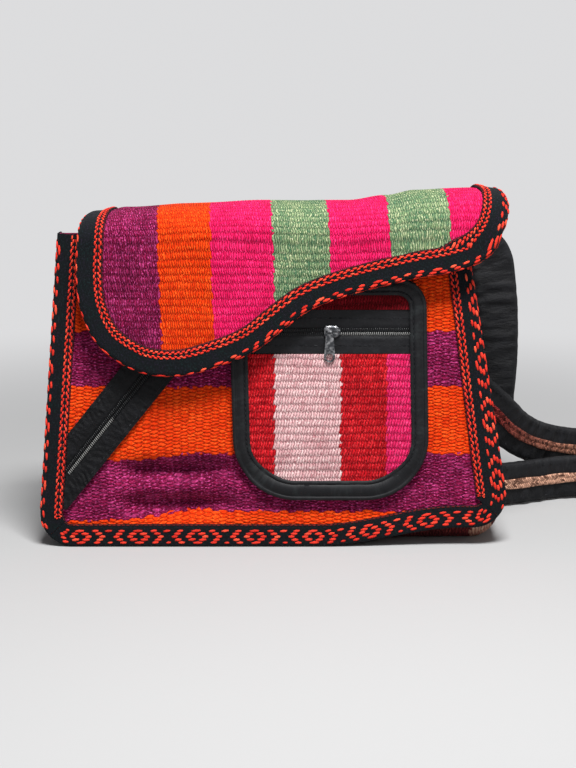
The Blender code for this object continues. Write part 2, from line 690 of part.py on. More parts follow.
def make_flap(edge):
    outline = [p for p in edge.points]
    top = FLAP_SHOULDER + CREST_RUN + FLAP_BACK_DROP
    levels = rows(0.118, FLAP_SHOULDER - 0.002, RIB_PITCH) + crest_levels()
    cuts = [((-0.2, z), (0.2, z)) for z in levels]
    cuts += [((end, 0.1), (end, top + 0.01)) for _, end in FLAP_STRIPES[:-1]]
    cuts += [((x, 0.1), (x, top + 0.01)) for x in (-0.095, 0.128)]

    def face(x, run):
        return FLAP_CLOTH + (rib(run, RIB_PITCH, RIB_HEIGHT) if run < FLAP_SHOULDER - TINY else 0.0)

    lining = inner_points(edge, 0.004, (-0.100, -0.060, -0.015, 0.030, 0.075, 0.105, 0.135),
                          [0.131, 0.148, 0.168, 0.188] + crest_levels())
    cloth_piece("flap", outline, cuts, place_flap, lambda x, z: 0.0, face, FLAP_STRIPES,
                lambda x, z: x, lining)
    back_leg = RIBBON_WIDTH - FLAP_RIBBON_FRONT - RIBBON_OUT
    low = FLAP_CLOTH + RIB_HEIGHT + LAYER_GAP + SEAM_GAP
    make_flap_ribbon(edge, low, back_leg)


def make_flap_ribbon(edge, low, back_leg):
    """The flap's ribbon lies on both faces, so its fold wraps the edge like a channel."""
    width, face = FLAP_RIBBON_FRONT, low + RIBBON
    stations = edge.stations(0.0, edge.length)
    strip = [Vector((run, -width)) for run in stations]
    strip += [Vector((run, RIBBON_OUT)) for run in reversed(stations)]
    coral, black = ribbon_motifs(0.0, edge.length, width)
    points, shapes = list(strip), []
    for shape in coral + black:
        shapes.append(range(len(points), len(points) + len(shape)))
        points += [Vector(p) for p in shape]
    flat, origin, kept = triangles_in(points, [], range(len(strip)), shapes)
    rim_index = {}
    for new, old in enumerate(origin):
        for number in old:
            if number < len(strip):
                rim_index[number] = new
    corners = []
    for p in flat:
        spot = edge.at(p.x, p.y)
        corners.append(place_flap(spot.x, spot.y, face))
    faces = [tuple(tri) for tri, _ in kept]
    tints = [1 if 1 <= own <= len(coral) else 0 for _, own in kept]
    under = -3 * SEAM_GAP
    rest = [(RIBBON_OUT, under - RIBBON), (-back_leg, under - RIBBON), (-back_leg, under),
            (SEAM_GAP, under), (SEAM_GAP, low), (-width, low)]
    count = len(stations)
    rings = []
    for i, run in enumerate(stations):
        ring = [rim_index[i], rim_index[2 * count - 1 - i]]
        for out, high in rest:
            spot = edge.at(run, out)
            ring.append(len(corners))
            corners.append(place_flap(spot.x, spot.y, high))
        rings.append(ring)
    for near, far in zip(rings, rings[1:]):
        for k in range(1, len(near)):
            nxt = (k + 1) % len(near)
            faces.append((near[k], near[nxt], far[nxt], far[k]))
            tints.append(0)
    faces += [tuple(rings[0]), tuple(rings[-1])]
    tints += [0, 0]
    add_piece("flap_ribbon", corners, faces, ["ink", "coral"], tints)


def make_patch_pocket():
    bends = [0.0400, 0.0465, 0.0545, 0.0615, 0.0690]
    edge = pocket_edge().refined(bends)
    cloth = edge.offset(-BINDING_ROLL - SEAM_GAP).points[:-1]
    low_end, high_start = ZIP_HEIGHT - TAPE_REACH, ZIP_HEIGHT + TAPE_REACH

    def face(x, z):
        return PATCH_HIGH + rib(x, RIB_PITCH, RIB_HEIGHT)

    columns = rows(POCKET_LEFT + 0.004, POCKET_RIGHT - 0.004, RIB_PITCH)
    cuts = [((x, 0.0), (x, 0.2)) for x in columns]
    cuts += [((end, 0.0), (end + TINY, 0.2)) for _, end in POCKET_STRIPES[:-1]
             if min(abs(end - x) for x in columns) > 0.0008]
    main = clip(cloth, (0.0, low_end - SEAM_GAP), (0.0, 1.0))
    cloth_piece("pocket_panel", main, cuts + [((-0.1, z), (0.2, z)) for z in bends],
                place_front, lambda x, z: PATCH_LOW, face, POCKET_STRIPES, lambda x, z: x)
    strip = clip(cloth, (0.0, high_start + SEAM_GAP), (0.0, -1.0))
    cloth_piece("pocket_top_strip", strip, cuts[::2], place_front, lambda x, z: PATCH_LOW, face,
                POCKET_STRIPES, lambda x, z: x)
    for name, near, far in (("pocket_tape_lower", ZIP_HEIGHT - COIL_EDGE - SEAM_GAP, low_end),
                            ("pocket_tape_upper", ZIP_HEIGHT + COIL_EDGE + SEAM_GAP, high_start)):
        tape = clip(cloth, (0.0, min(near, far)), (0.0, -1.0))
        tape = clip(tape, (0.0, max(near, far)), (0.0, 1.0))
        cloth_piece(name, tape, [], place_front, lambda x, z: TAPE_LOW, lambda x, z: TAPE_HIGH,
                    [("nylon", 1.0)], lambda x, z: x)
    roll, over, wide = BINDING_ROLL, BINDING_TOP, BINDING_WIDTH
    section = [(-roll, PATCH_LOW), (0.0, PATCH_LOW), (0.0, over + 0.0004), (-0.0016, over + 0.0013),
               (-0.0050, over + 0.0008), (-wide + 0.0016, over + 0.0014), (-wide, over + 0.0008),
               (-wide, over), (-roll, over)]
    swept("pocket_binding", place_front, edge, section, "nylon")
    inner = edge.offset(-wide).points
    return min(p.x for p in inner) + 0.001, max(p.x for p in inner) - 0.001


def make_coil(name, place, start, end, side):
    """One row of coil teeth, seen from the side as a saw profile and carried across the coil."""
    near, far = COIL_SLOT / 2, COIL_EDGE
    count = max(2, round((end - start) / TOOTH_PITCH))
    pitch = (end - start) / count
    tooth = COIL_THICK * 0.30
    profile = [(start, COIL_LOW)]
    for k in range(count):
        root = start + k * pitch
        profile += [(root, COIL_HIGH - tooth), (root + pitch / 2, COIL_HIGH)]
    profile += [(end, COIL_HIGH - tooth), (end, COIL_LOW)]
    size = len(profile)
    points = [place(run, side * near, high) for run, high in profile]
    points += [place(run, side * far, high) for run, high in profile]
    faces = [tuple(range(size)), tuple(range(size, 2 * size))]
    for k in range(size):
        nxt = (k + 1) % size
        faces.append((k, nxt, size + nxt, size + k))
    return add_piece(name, points, faces, ["nylon"])


def slash_place(run, across, high=0.0):
    """Point on the slanting zip: along it, across it and in front of the cloth."""
    along = Vector((math.cos(SLASH_ANGLE), math.sin(SLASH_ANGLE)))
    spot = Vector(SLASH_START) + along * run + Vector((-along.y, along.x)) * across
    return place_front(spot.x, spot.y, high)


def slash_flat(run, across):
    spot = slash_place(run, across)
    return Vector((spot.x, spot.z))


def slash_coords(x, z):
    step = Vector((x, z)) - Vector(SLASH_START)
    along = Vector((math.cos(SLASH_ANGLE), math.sin(SLASH_ANGLE)))
    return step.dot(along), step.dot(Vector((-along.y, along.x)))


def make_slash_pocket(edge):
    """Gathered tapes on both sides of the slanting zip, cut off along the left ribbon."""
    inner = edge.offset(-RIBBON_FRONT["left_ribbon"] - SEAM_GAP)
    line_a, line_b = inner.at(0.0), inner.at(inner.marks[3])
    away = Vector((line_b.y - line_a.y, line_a.x - line_b.x)).normalized()
    flat_until = SLIDER_WIDTH / 2 + 0.0009

    def gathered(x, z):
        run, across = slash_coords(x, z)
        ramp = smoothstep((abs(across) - flat_until) / 0.002)
        return TAPE_HIGH + ramp * rib(run + 0.35 * abs(across), GATHER_PITCH, GATHER_HEIGHT)

    def lining(x, z):
        _, across = slash_coords(x, z)
        return TAPE_LOW + (PATCH_LOW - TAPE_LOW) * (abs(across) - COIL_EDGE) / SLASH_REACH

    for name, side in (("slash_tape_lower", -1), ("slash_tape_upper", 1)):
        near, far = side * (COIL_EDGE + SEAM_GAP), side * SLASH_REACH
        low, high = min(near, far), max(near, far)
        box = [slash_flat(-0.060, low), slash_flat(SLASH_LENGTH, low), slash_flat(SLASH_LENGTH, high),
               slash_flat(-0.060, high)]
        tape = clip(clip(box, line_a, away), (0.0, SLASH_FLOOR), (0.0, -1.0))
        cuts = []
        for run in rows(-0.040, SLASH_LENGTH - 0.002, GATHER_PITCH):
            slant = 0.35
            cuts.append((slash_flat(run - slant * abs(low), low - 0.004),
                         slash_flat(run - slant * abs(high), high + 0.004)))
        across = side * (flat_until + 0.002)
        cuts.append((slash_flat(-0.070, across), slash_flat(0.140, across)))
        cloth_piece(name, tape, cuts, place_front, lining, gathered, [("nylon", 1.0)],
                    lambda x, z: x, [])


def make_slider(name, pull_name, frame):
    """Zip slider and its pull.

    The slider's own axes are: X along the zip, Y across it and Z out of the cloth. Its section is an
    H, two plates and the post between the coils, narrowed to a nose at both ends, with an arched
    bridge on top. The pull's knuckle turns on the bridge's bar.
    """
    half, lip = SLIDER_WIDTH / 2, 0.0007
    section = [(-half, PLATE_LOW), (half, PLATE_LOW), (half, PLATE_HIGH), (POST / 2, PLATE_HIGH),
               (POST / 2, TOP_PLATE_LOW), (half, TOP_PLATE_LOW), (half, TOP_PLATE_HIGH - 0.0002),
               (half - lip, TOP_PLATE_HIGH + 0.0002), (-half + lip, TOP_PLATE_HIGH + 0.0002),
               (-half, TOP_PLATE_HIGH - 0.0002), (-half, TOP_PLATE_LOW), (-POST / 2, TOP_PLATE_LOW),
               (-POST / 2, PLATE_HIGH), (-half, PLATE_HIGH)]
    size = len(section)
    stations = [(-0.50, 0.74), (-0.40, 0.96), (-0.15, 1.0), (0.22, 0.94), (0.40, 0.72), (0.50, 0.52)]
    points = []
    for share, taper in stations:
        for y, z in section:
            shrunk = y if abs(y) <= POST / 2 else y * taper
            points.append(frame @ Vector((share * SLIDER_LENGTH, shrunk, z)))
    faces = [tuple(range(size)), tuple(range((len(stations) - 1) * size, len(stations) * size))]
    for i in range(len(stations) - 1):
        for k in range(size):
            nxt = (k + 1) % size
            faces.append((i * size + k, i * size + nxt, (i + 1) * size + nxt, (i + 1) * size + k))
    slider = add_piece(name, points, faces, ["metal"])
    bridge = make_bridge(name + "_bridge", frame)
    join = slider.modifiers.new("bridge", "BOOLEAN")
    join.operation = "UNION"
    join.object = bridge
    make_pull(pull_name, frame)


def make_bridge(name, frame):
    """Arched bar from nose to tail, round where the pull hangs."""
    reach = SLIDER_LENGTH * 0.40
    foot = TOP_PLATE_HIGH - PLATE * 0.4
    line = [(-reach, foot), (-reach, BAR_HEIGHT - 0.0011), (-reach + 0.0007, BAR_HEIGHT - 0.0002),
            (-reach + 0.0018, BAR_HEIGHT), (reach - 0.0018, BAR_HEIGHT),
            (reach - 0.0007, BAR_HEIGHT - 0.0002), (reach, BAR_HEIGHT - 0.0011), (reach, foot)]
    sides = 6
    points = []
    for i, (x, z) in enumerate(line):
        before, after = line[max(i - 1, 0)], line[min(i + 1, len(line) - 1)]
        along = Vector((after[0] - before[0], 0.0, after[1] - before[1])).normalized()
        up = Vector((-along.z, 0.0, along.x))
        for k in range(sides):
            turn = 2 * math.pi * (k + 0.5) / sides
            spoke = up * math.cos(turn) + Vector((0.0, 1.0, 0.0)) * math.sin(turn)
            points.append(frame @ (Vector((x, 0.0, z)) + spoke * BRIDGE_BAR))
    faces = [tuple(range(sides)), tuple(range((len(line) - 1) * sides, len(line) * sides))]
    for i in range(len(line) - 1):
        for k in range(sides):
            nxt = (k + 1) % sides
            faces.append((i * sides + k, i * sides + nxt, (i + 1) * sides + nxt, (i + 1) * sides + k))
    bridge = add_piece(name, points, faces, ["metal"])
    bridge.hide_render = True
    bridge.display_type = "WIRE"
    return bridge


def make_pull(name, frame):
    """Flat tapered pull with a round eye, hanging straight down from a knuckle on the bar."""
    bar = frame @ Vector((-PULL_SETBACK, 0.0, BAR_HEIGHT))
    turn_axis = (frame.to_3x3() @ Vector((1.0, 0.0, 0.0))).normalized()
    down = Vector((0.0, 0.0, -1.0))
    down = (down - turn_axis * down.dot(turn_axis)).normalized()
    out = turn_axis.cross(down).normalized()
    if out.y > 0:
        out = -out
    hole, ring = BRIDGE_BAR + SLIDER_CLEARANCE, BRIDGE_BAR + SLIDER_CLEARANCE + 0.0006
    knuckle = 0.0024
    sides = 10
    points = []
    for side in (-1, 1):
        for radius in (ring, hole):
            for k in range(sides):
                turn = 2 * math.pi * (k + 0.5) / sides
                spoke = down * math.cos(turn) + out * math.sin(turn)
                points.append(bar + turn_axis * side * knuckle / 2 + spoke * radius)
    faces = []
    for k in range(sides):
        nxt = (k + 1) % sides
        a, b, c, d = (0, sides, 2 * sides, 3 * sides)
        faces.append((a + k, a + nxt, b + nxt, b + k))
        faces.append((c + k, d + k, d + nxt, c + nxt))
        faces.append((a + k, c + k, c + nxt, a + nxt))
        faces.append((b + k, b + nxt, d + nxt, d + k))
    pull = add_piece(name, points, faces, ["metal"])

    eye_drop = PULL_LENGTH - PULL_EYE
    outline = [(-PULL_TOP_WIDTH * 0.30, ring * 0.7), (-PULL_TOP_WIDTH / 2, ring + 0.0016)]
    arc = 8
    for k in range(arc + 1):
        turn = math.pi * (0.97 + 1.06 * k / arc)
        outline.append((PULL_EYE * math.cos(turn), eye_drop - PULL_EYE * math.sin(turn)))
    outline += [(PULL_TOP_WIDTH / 2, ring + 0.0016), (PULL_TOP_WIDTH * 0.30, ring * 0.7)]
    plate = extruded(name + "_plate", outline, bar, turn_axis, down, out, PULL_THICK)
    turns = [2 * math.pi * k / 12 for k in range(12)]
    bore = [(PULL_HOLE * math.cos(turn), eye_drop + PULL_HOLE * math.sin(turn)) for turn in turns]
    punch = extruded(name + "_punch", bore, bar, turn_axis, down, out, PULL_THICK * 3)
    cut = plate.modifiers.new("eye", "BOOLEAN")
    cut.operation = "DIFFERENCE"
    cut.object = punch
    join = pull.modifiers.new("plate", "BOOLEAN")
    join.operation = "UNION"
    join.object = plate


def extruded(name, outline, origin, right, down, out, thick):
    """A guide solid: an outline in the right and down directions, thick in the out direction."""
    points = [origin + right * a + down * b + out * side * thick / 2
              for side in (-1, 1) for a, b in outline]
    size = len(outline)
    faces = [tuple(range(size)), tuple(range(size, 2 * size))]
    faces += [(k, (k + 1) % size, size + (k + 1) % size, size + k) for k in range(size)]
    piece = add_piece(name, points, faces, ["metal"])
    piece.hide_render = True
    piece.display_type = "WIRE"
    return piece


def cloth_frame(origin, along):
    """Axes of a slider: along the zip, across it in the cloth, and out of the cloth."""
    out = Vector((0.0, -1.0, LEAN)).normalized()
    along = along.normalized()
    across = out.cross(along).normalized()
    return Matrix.Translation(origin) @ Matrix((along, across, out)).transposed().to_4x4()


def strap_line(keys, step):
    """Evenly spaced stations (point, width direction, face direction, run) along a strap."""
    line = curve_through([list(point) + list(wide) for point, wide in [
        (Vector(p), Vector(w)) for p, w in keys]], 12)
    spots = [Vector(v[:3]) for v in line]
    wides = [Vector(v[3:6]) for v in line]
    marks = [0.0]
    for a, b in zip(spots, spots[1:]):
        marks.append(marks[-1] + (b - a).length)
    count = max(2, round(marks[-1] / step))
    out, i = [], 0
    for k in range(count + 1):
        run = marks[-1] * k / count
        while i < len(marks) - 2 and marks[i + 1] < run:
            i += 1
        share = (run - marks[i]) / (marks[i + 1] - marks[i])
        tangent = (spots[min(i + 2, len(spots) - 1)] - spots[max(i - 1, 0)]).normalized()
        wide = wides[i].lerp(wides[i + 1], share)
        wide = (wide - tangent * wide.dot(tangent)).normalized()
        out.append((spots[i].lerp(spots[i + 1], share), wide, tangent.cross(wide).normalized(), run))
    return out


def loft(name, rings, finish):
    """Solid through a row of rings; its sides are triangles that all slant the same way."""
    size = len(rings[0])
    points = [point for ring in rings for point in ring]
    faces = [tuple(range(size)), tuple(range((len(rings) - 1) * size, len(rings) * size))]
    for i in range(len(rings) - 1):
        for k in range(size):
            a, b = i * size + k, i * size + (k + 1) % size
            faces.append((a, b, b + size))
            faces.append((a, b + size, a + size))
    return add_piece(name, points, faces, [finish])


def make_strap(name, keys):
    """Padded nylon strap, gathered along its seams, with a woven band down its face."""
    stations = strap_line(keys, STRAP_STEP)
    half, pad, band = STRAP_WIDTH / 2, STRAP_PAD / 2, BAND_WIDTH / 2 + 0.0008
    rings = []
    for i, (spot, wide, face, _) in enumerate(stations):
        puff = STRAP_GATHER * (1 if i % 2 else -1)
        section = [(half, puff), (0.60 * half, 0.88 * pad), (band, pad), (-band, pad),
                   (-0.60 * half, 0.88 * pad), (-half, -puff), (-0.55 * half, -pad + puff),
                   (0.55 * half, -pad - puff)]
        rings.append([spot + wide * w + face * n for w, n in section])
    loft(name, rings, "nylon")
    rings = []
    low, high = pad + BAND_GAP, pad + BAND_GAP + BAND_THICK
    wide_half = BAND_WIDTH / 2
    for spot, wide, face, _ in stations[1:-1]:
        section = [(wide_half, high), (wide_half, low), (-wide_half, low), (-wide_half, high)]
        rings.append([spot + wide * w + face * n for w, n in section])
    loft(name + "_band", rings, "peach")


UP, DOWN = (0.0, 0.0, 1.0), (0.0, 0.0, -1.0)
RIGHT_STRAP = [
    ((0.0300, 0.0343, 0.1700), (0.55, 0.0, 0.84)), ((0.0650, 0.0398, 0.1470), (0.58, 0.0, 0.81)),
    ((0.1000, 0.0442, 0.1200), (0.62, 0.0, 0.78)), ((0.1300, 0.0490, 0.0950), (0.64, 0.0, 0.77)),
    ((0.1580, 0.0560, 0.0700), (0.66, 0.0, 0.75)), ((0.1730, 0.0650, 0.0545), (0.50, 0.0, 0.86)),
    ((0.1920, 0.0800, 0.0420), (0.20, 0.0, 0.98)), ((0.2180, 0.0985, 0.0330), (0.15, 0.0, 1.0)),
    ((0.2500, 0.1160, 0.0280), (0.45, 0.1, 0.85)), ((0.2850, 0.1270, 0.0215), (0.75, 0.15, 0.60)),
    ((0.3170, 0.1200, 0.0140), (0.95, 0.30, 0.25)), ((0.3300, 0.0950, 0.0110), (1.0, 0.0, 0.0)),
    ((0.3160, 0.0720, 0.0135), (0.85, -0.40, -0.30)), ((0.2840, 0.0660, 0.0170), (0.55, -0.5, -0.70)),
    ((0.2500, 0.0740, 0.0172), (0.20, -0.1, -0.95)),
    ((0.2150, 0.0760, 0.0168), DOWN), ((0.1900, 0.0650, 0.0168), DOWN), ((0.1640, 0.0540, 0.0168), DOWN),
    ((0.1400, 0.0510, 0.0168), DOWN), ((0.1180, 0.0508, 0.0168), DOWN),
]
LEFT_STRAP = [
    ((-0.0500, 0.0366, 0.1715), DOWN), ((-0.0100, 0.0400, 0.1730), DOWN),
    ((0.0300, 0.0490, 0.1760), DOWN), ((0.0750, 0.0610, 0.1810), (0.05, 0.0, -1.0)),
    ((0.1150, 0.0720, 0.1830), (-0.10, 0.0, -1.0)), ((0.1450, 0.0770, 0.1720), (-0.75, 0.0, -0.65)),
    ((0.1590, 0.0780, 0.1460), (-1.0, 0.0, -0.15)), ((0.1608, 0.0780, 0.1150), (-1.0, 0.0, 0.0)),
    ((0.1600, 0.0780, 0.0850), (-1.0, 0.0, 0.05)), ((0.1560, 0.0770, 0.0570), (-0.95, 0.0, 0.30)),
    ((0.1380, 0.0750, 0.0310), (-0.60, 0.0, 0.80)), ((0.1080, 0.0700, 0.0195), (-0.12, 0.0, 1.0)),
    ((0.0600, 0.0640, 0.0168), UP), ((0.0100, 0.0600, 0.0168), UP), ((-0.0500, 0.0560, 0.0168), UP),
    ((-0.0950, 0.0510, 0.0168), UP), ((-0.1280, 0.0488, 0.0168), UP),
]


def main():
    clear_scene()
    front_edge = panel_edge(FRONT_LIFT, PANEL_HEIGHT)
    back_edge = panel_edge(0.0, BACK_HEIGHT)
    make_front_panel(front_edge)
    make_back_panel(back_edge)
    make_gusset(front_edge, back_edge)
    make_body_ribbons(front_edge, back_edge)
    make_mouth_hem(front_edge)
    make_flap(flap_edge())

    left, right = make_patch_pocket()
    for side, name in ((-1, "pocket_coil_lower"), (1, "pocket_coil_upper")):
        make_coil(name, lambda run, across, high: place_front(run, ZIP_HEIGHT + across, high),
                  left, right, side)
    make_slider("pocket_slider", "pocket_pull",
                cloth_frame(place_front(POCKET_SLIDER_X, ZIP_HEIGHT), Vector((1.0, 0.0, 0.0))))

    make_slash_pocket(front_edge)
    for side, name in ((-1, "slash_coil_lower"), (1, "slash_coil_upper")):
        make_coil(name, slash_place, 0.0020, SLASH_LENGTH, side)
    along = slash_place(1.0, 0.0) - slash_place(0.0, 0.0)
    make_slider("slash_slider", "slash_pull", cloth_frame(slash_place(SLASH_SLIDER_RUN, 0.0), along))

    make_strap("right_strap", RIGHT_STRAP)
    make_strap("left_strap", LEFT_STRAP)


main()
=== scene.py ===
"""A woven flap backpack in the Andean style, dressed over its stored solids.

Striped handwoven cloth, black ribbon with a coral chain and diamonds bound over the edges, a zipped
patch pocket, a gathered slanting zip and two padded nylon straps. Metres throughout; heights called
high are measured out from the cloth.
"""
import math
import random
from collections import namedtuple

import bmesh
import bpy
from mathutils import Matrix, Vector, noise
from mathutils.geometry import delaunay_2d_cdt


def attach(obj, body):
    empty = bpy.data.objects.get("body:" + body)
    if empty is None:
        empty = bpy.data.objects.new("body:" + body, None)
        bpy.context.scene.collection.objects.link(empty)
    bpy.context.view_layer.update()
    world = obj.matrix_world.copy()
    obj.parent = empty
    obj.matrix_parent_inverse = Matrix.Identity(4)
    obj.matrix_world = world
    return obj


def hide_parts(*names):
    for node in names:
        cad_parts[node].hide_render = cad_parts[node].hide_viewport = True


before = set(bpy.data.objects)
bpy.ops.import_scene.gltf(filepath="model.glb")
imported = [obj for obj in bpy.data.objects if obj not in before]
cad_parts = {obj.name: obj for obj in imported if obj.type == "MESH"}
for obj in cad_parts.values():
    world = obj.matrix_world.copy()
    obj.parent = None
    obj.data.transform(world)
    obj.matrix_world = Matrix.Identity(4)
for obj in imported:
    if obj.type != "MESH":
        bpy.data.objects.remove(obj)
bpy.ops.object.select_all(action="DESELECT")
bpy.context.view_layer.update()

# Body of the bag
PANEL_HEIGHT, BACK_HEIGHT = 0.2055, 0.197
BASE_LEFT, BASE_RIGHT, MOUTH_LEFT, MOUTH_RIGHT = 0.1535, 0.156, 0.1375, 0.1235
BASE_DEPTH, MOUTH_DEPTH, CORNER_RADIUS = 0.088, 0.056, 0.020
FRONT_LIFT, LIFT_START, LIFT_END = 0.0125, 0.030, 0.125
LEAN = (BASE_DEPTH - MOUTH_DEPTH) / 2 / PANEL_HEIGHT
CLOTH, GUSSET_CLOTH, SEAM_GAP = 0.0025, 0.0020, 0.0003
WEFT_BAND, PANEL_FLOOR = 0.0050, 0.0018
SIDE_STEPS, CORNER_STEPS, BASE_STEPS = 60, 12, 80
HEM_THICK, HEM_LEG = 0.0008, 0.009
# Height and reach of each fold in the front cloth, then how deep and how far along they go
FOLDS = [(0.0255, 0.0074), (0.0484, 0.0066)]
FOLD_DEPTH, FOLD_LEFT, FOLD_RIGHT, FOLD_FADE = 0.0105, -0.114, -0.010, 0.045
# Ribbons, and the repeats of their chain, diamonds and seam
RIBBON, RIBBON_OUT, RIBBON_WIDTH, RIBBON_FACE, RIBBON_TURN = 0.0012, 0.0015, 0.026, 0.0024, 0.0014
RIBBON_FRONT = {"left": 0.0135, "base": 0.0130, "right": 0.0185}
RIGHT_SLIP, BACK_RIBBON_FRONT, BACK_RIBBON_FACE = 0.0048, 0.013, 0.0015
CHAIN_LINK, DIAMOND_REPEAT, CHAIN_AT, RIBBON_STITCH = 0.0043, 0.0385, 0.0033, 0.0030
# Flap
FLAP_CLOTH, FLAP_STANDOFF, FLAP_SHOULDER, FLAP_BACK_DROP = 0.0026, 0.0113, 0.198, 0.008
CREST_SQUARE, CREST_RUN, FLAP_RIBBON_FRONT, FLAP_RIBBON_UNDER = 0.68, 0.100, 0.0155, -0.0021
# Along the bag, how high the flap's lining passes over it
CREST = [(-0.130, 0.2098), (-0.117, 0.2122), (-0.097, 0.2174), (-0.060, 0.2196), (0.000, 0.2218),
         (0.050, 0.2220), (0.075, 0.2250), (0.094, 0.2288), (0.131, 0.2304), (0.147, 0.2275), (0.156, 0.2225)]
# Patch pocket, its heights over the front cloth
POCKET_LEFT, POCKET_RIGHT, POCKET_BOTTOM, POCKET_TOP = -0.0272, 0.1015, 0.033, 0.176
POCKET_LEAN, POCKET_LOW_RADIUS, POCKET_TOP_RADIUS = 0.0035, 0.040, 0.018
PATCH_LOW, PATCH_HIGH = 0.0012, 0.0035
BINDING_TOP, BINDING_WIDTH, BINDING_ROLL, BINDING_OUT = 0.0050, 0.0098, 0.0012, 0.0014
ZIP_HEIGHT, TAPE_REACH, TAPE_LOW, TAPE_HIGH, TAPE_PARTING = 0.1422, 0.0142, 0.00235, 0.00295, 0.00002
COIL_LOW, COIL_HIGH, COIL_EDGE, TOOTH_PITCH = 0.0020, 0.0033, 0.00245, 0.00133
# Slanting zip
SLASH_START, SLASH_ANGLE, SLASH_LENGTH = (-0.135, 0.050), math.radians(51), 0.118
SLASH_REACH, SLASH_FLOOR, SLASH_SEAM, SLASH_FOOT = 0.0152, 0.0255, 0.0480, -0.060
# Straps; the seam and the pipe lie at shares of half the width
STRAP_WIDTH, STRAP_PAD, BAND_WIDTH, BAND_THICK, BAND_GAP = 0.031, 0.0060, 0.0070, 0.0008, 0.0010
STRAP_SEAM_AT, STRAP_PIPE_AT, STRAP_STITCH = 0.74, 0.90, 0.0034

# Yarns: each one's colour, its pale fleck and its deep fleck, as red, green and blue
PLUM = ((0.25, 0.0080, 0.056), (0.72, 0.090, 0.34), (0.050, 0.002, 0.015))
ORANGE = ((0.88, 0.052, 0.004), (1.0, 0.16, 0.020), (0.50, 0.016, 0.002))
PINK = ((0.88, 0.013, 0.125), (1.0, 0.060, 0.24), (0.50, 0.003, 0.050))
GREEN = ((0.22, 0.31, 0.145), (0.72, 0.72, 0.44), (0.030, 0.13, 0.075))
CRIMSON = ((0.60, 0.009, 0.016), (0.95, 0.060, 0.070), (0.17, 0.002, 0.005))
# Crimson darkened as painted shadow: the pocket's top strip as it looks in the flap's shade
CRIMSON_IN_PAINTED_SHADOW = ((0.17, 0.004, 0.009), (0.30, 0.014, 0.024), (0.07, 0.002, 0.003))
PALE_PINK = ((0.79, 0.49, 0.50), (0.96, 0.78, 0.74), (0.46, 0.17, 0.19))
ROSE = ((0.86, 0.021, 0.135), (0.95, 0.10, 0.28), (0.40, 0.004, 0.045))
WINE = ((0.13, 0.016, 0.020), (0.30, 0.060, 0.050), (0.030, 0.008, 0.010))
PEACH = ((0.62, 0.34, 0.24), (0.80, 0.58, 0.44), (0.34, 0.09, 0.07))
CORAL, INK, NYLON = (0.86, 0.048, 0.026), (0.0036, 0.0050, 0.0062), (0.0042, 0.0044, 0.0056)
# Stripes: each one's yarn and where it ends, up the front, across the flap and pocket, round the gusset
FRONT_STRIPES = [(ORANGE, 0.0227), (PLUM, 0.0613), (ORANGE, 0.1054), (PLUM, 0.1413), (ORANGE, 0.1788),
                 (PLUM, 1.0)]
FLAP_STRIPES = [(PLUM, -0.0725), (ORANGE, -0.0385), (PINK, 0.0010), (GREEN, 0.0375), (PINK, 0.0760),
                (GREEN, 0.1137), (PINK, 1.0)]
POCKET_STRIPES = [(CRIMSON, 0.0010), (PALE_PINK, 0.0440), (CRIMSON, 0.0742), (ROSE, 1.0)]
GUSSET_STRIPES = [(WINE, 0.135), (PEACH, 0.146), (WINE, 0.262), (GREEN, 0.268), (WINE, 0.378),
                  (PEACH, 0.384), (WINE, 0.480), (PEACH, 0.4960), (WINE, 0.600), (PEACH, 0.606), (WINE, 1.0)]
# Camera and studio
CAMERA_SPOT, CAMERA_TILT, LENS = (0.010, -1.0216, 0.2993), math.radians(79), 72.0
BACKDROP, FLOOR_GREY = (0.72, 0.72, 0.73), (0.43, 0.43, 0.43)

Stitch = namedtuple("Stitch", "run across long wide slant", defaults=(0,))
chance = random.Random(23)


# Shapes shared by the pieces

def smoothstep(value):
    value = min(max(value, 0.0), 1.0)
    return value * value * (3.0 - 2.0 * value)


def ripple(x, y, z=0.0):
    """Smooth unevenness from -1 to 1."""
    return noise.noise(Vector((x, y, z)))


def curve_through(points, steps):
    points = [Vector(point) for point in points]
    ends = [2 * points[0] - points[1]] + points + [2 * points[-1] - points[-2]]
    out = []
    for i in range(1, len(ends) - 2):
        p0, p1, p2, p3 = ends[i - 1:i + 3]
        for k in range(steps):
            t = k / steps
            out.append(0.5 * (2 * p1 + (p2 - p0) * t + (2 * p0 - 5 * p1 + 4 * p2 - p3) * t ** 2
                              + (3 * p1 - p0 - 3 * p2 + p3) * t ** 3))
    out.append(points[-1])
    return out


def fillet(before, corner, after, radius, steps):
    """Arc that rounds a corner of an outline."""
    before, corner, after = Vector(before), Vector(corner), Vector(after)
    into, away = (before - corner).normalized(), (after - corner).normalized()
    half = into.angle(away) / 2
    centre = corner + (into + away).normalized() * radius / math.sin(half)
    start = corner + into * radius / math.tan(half) - centre
    sweep = start.angle_signed(corner + away * radius / math.tan(half) - centre)
    return [centre + Matrix.Rotation(-sweep * k / steps, 2) @ start for k in range(steps + 1)]


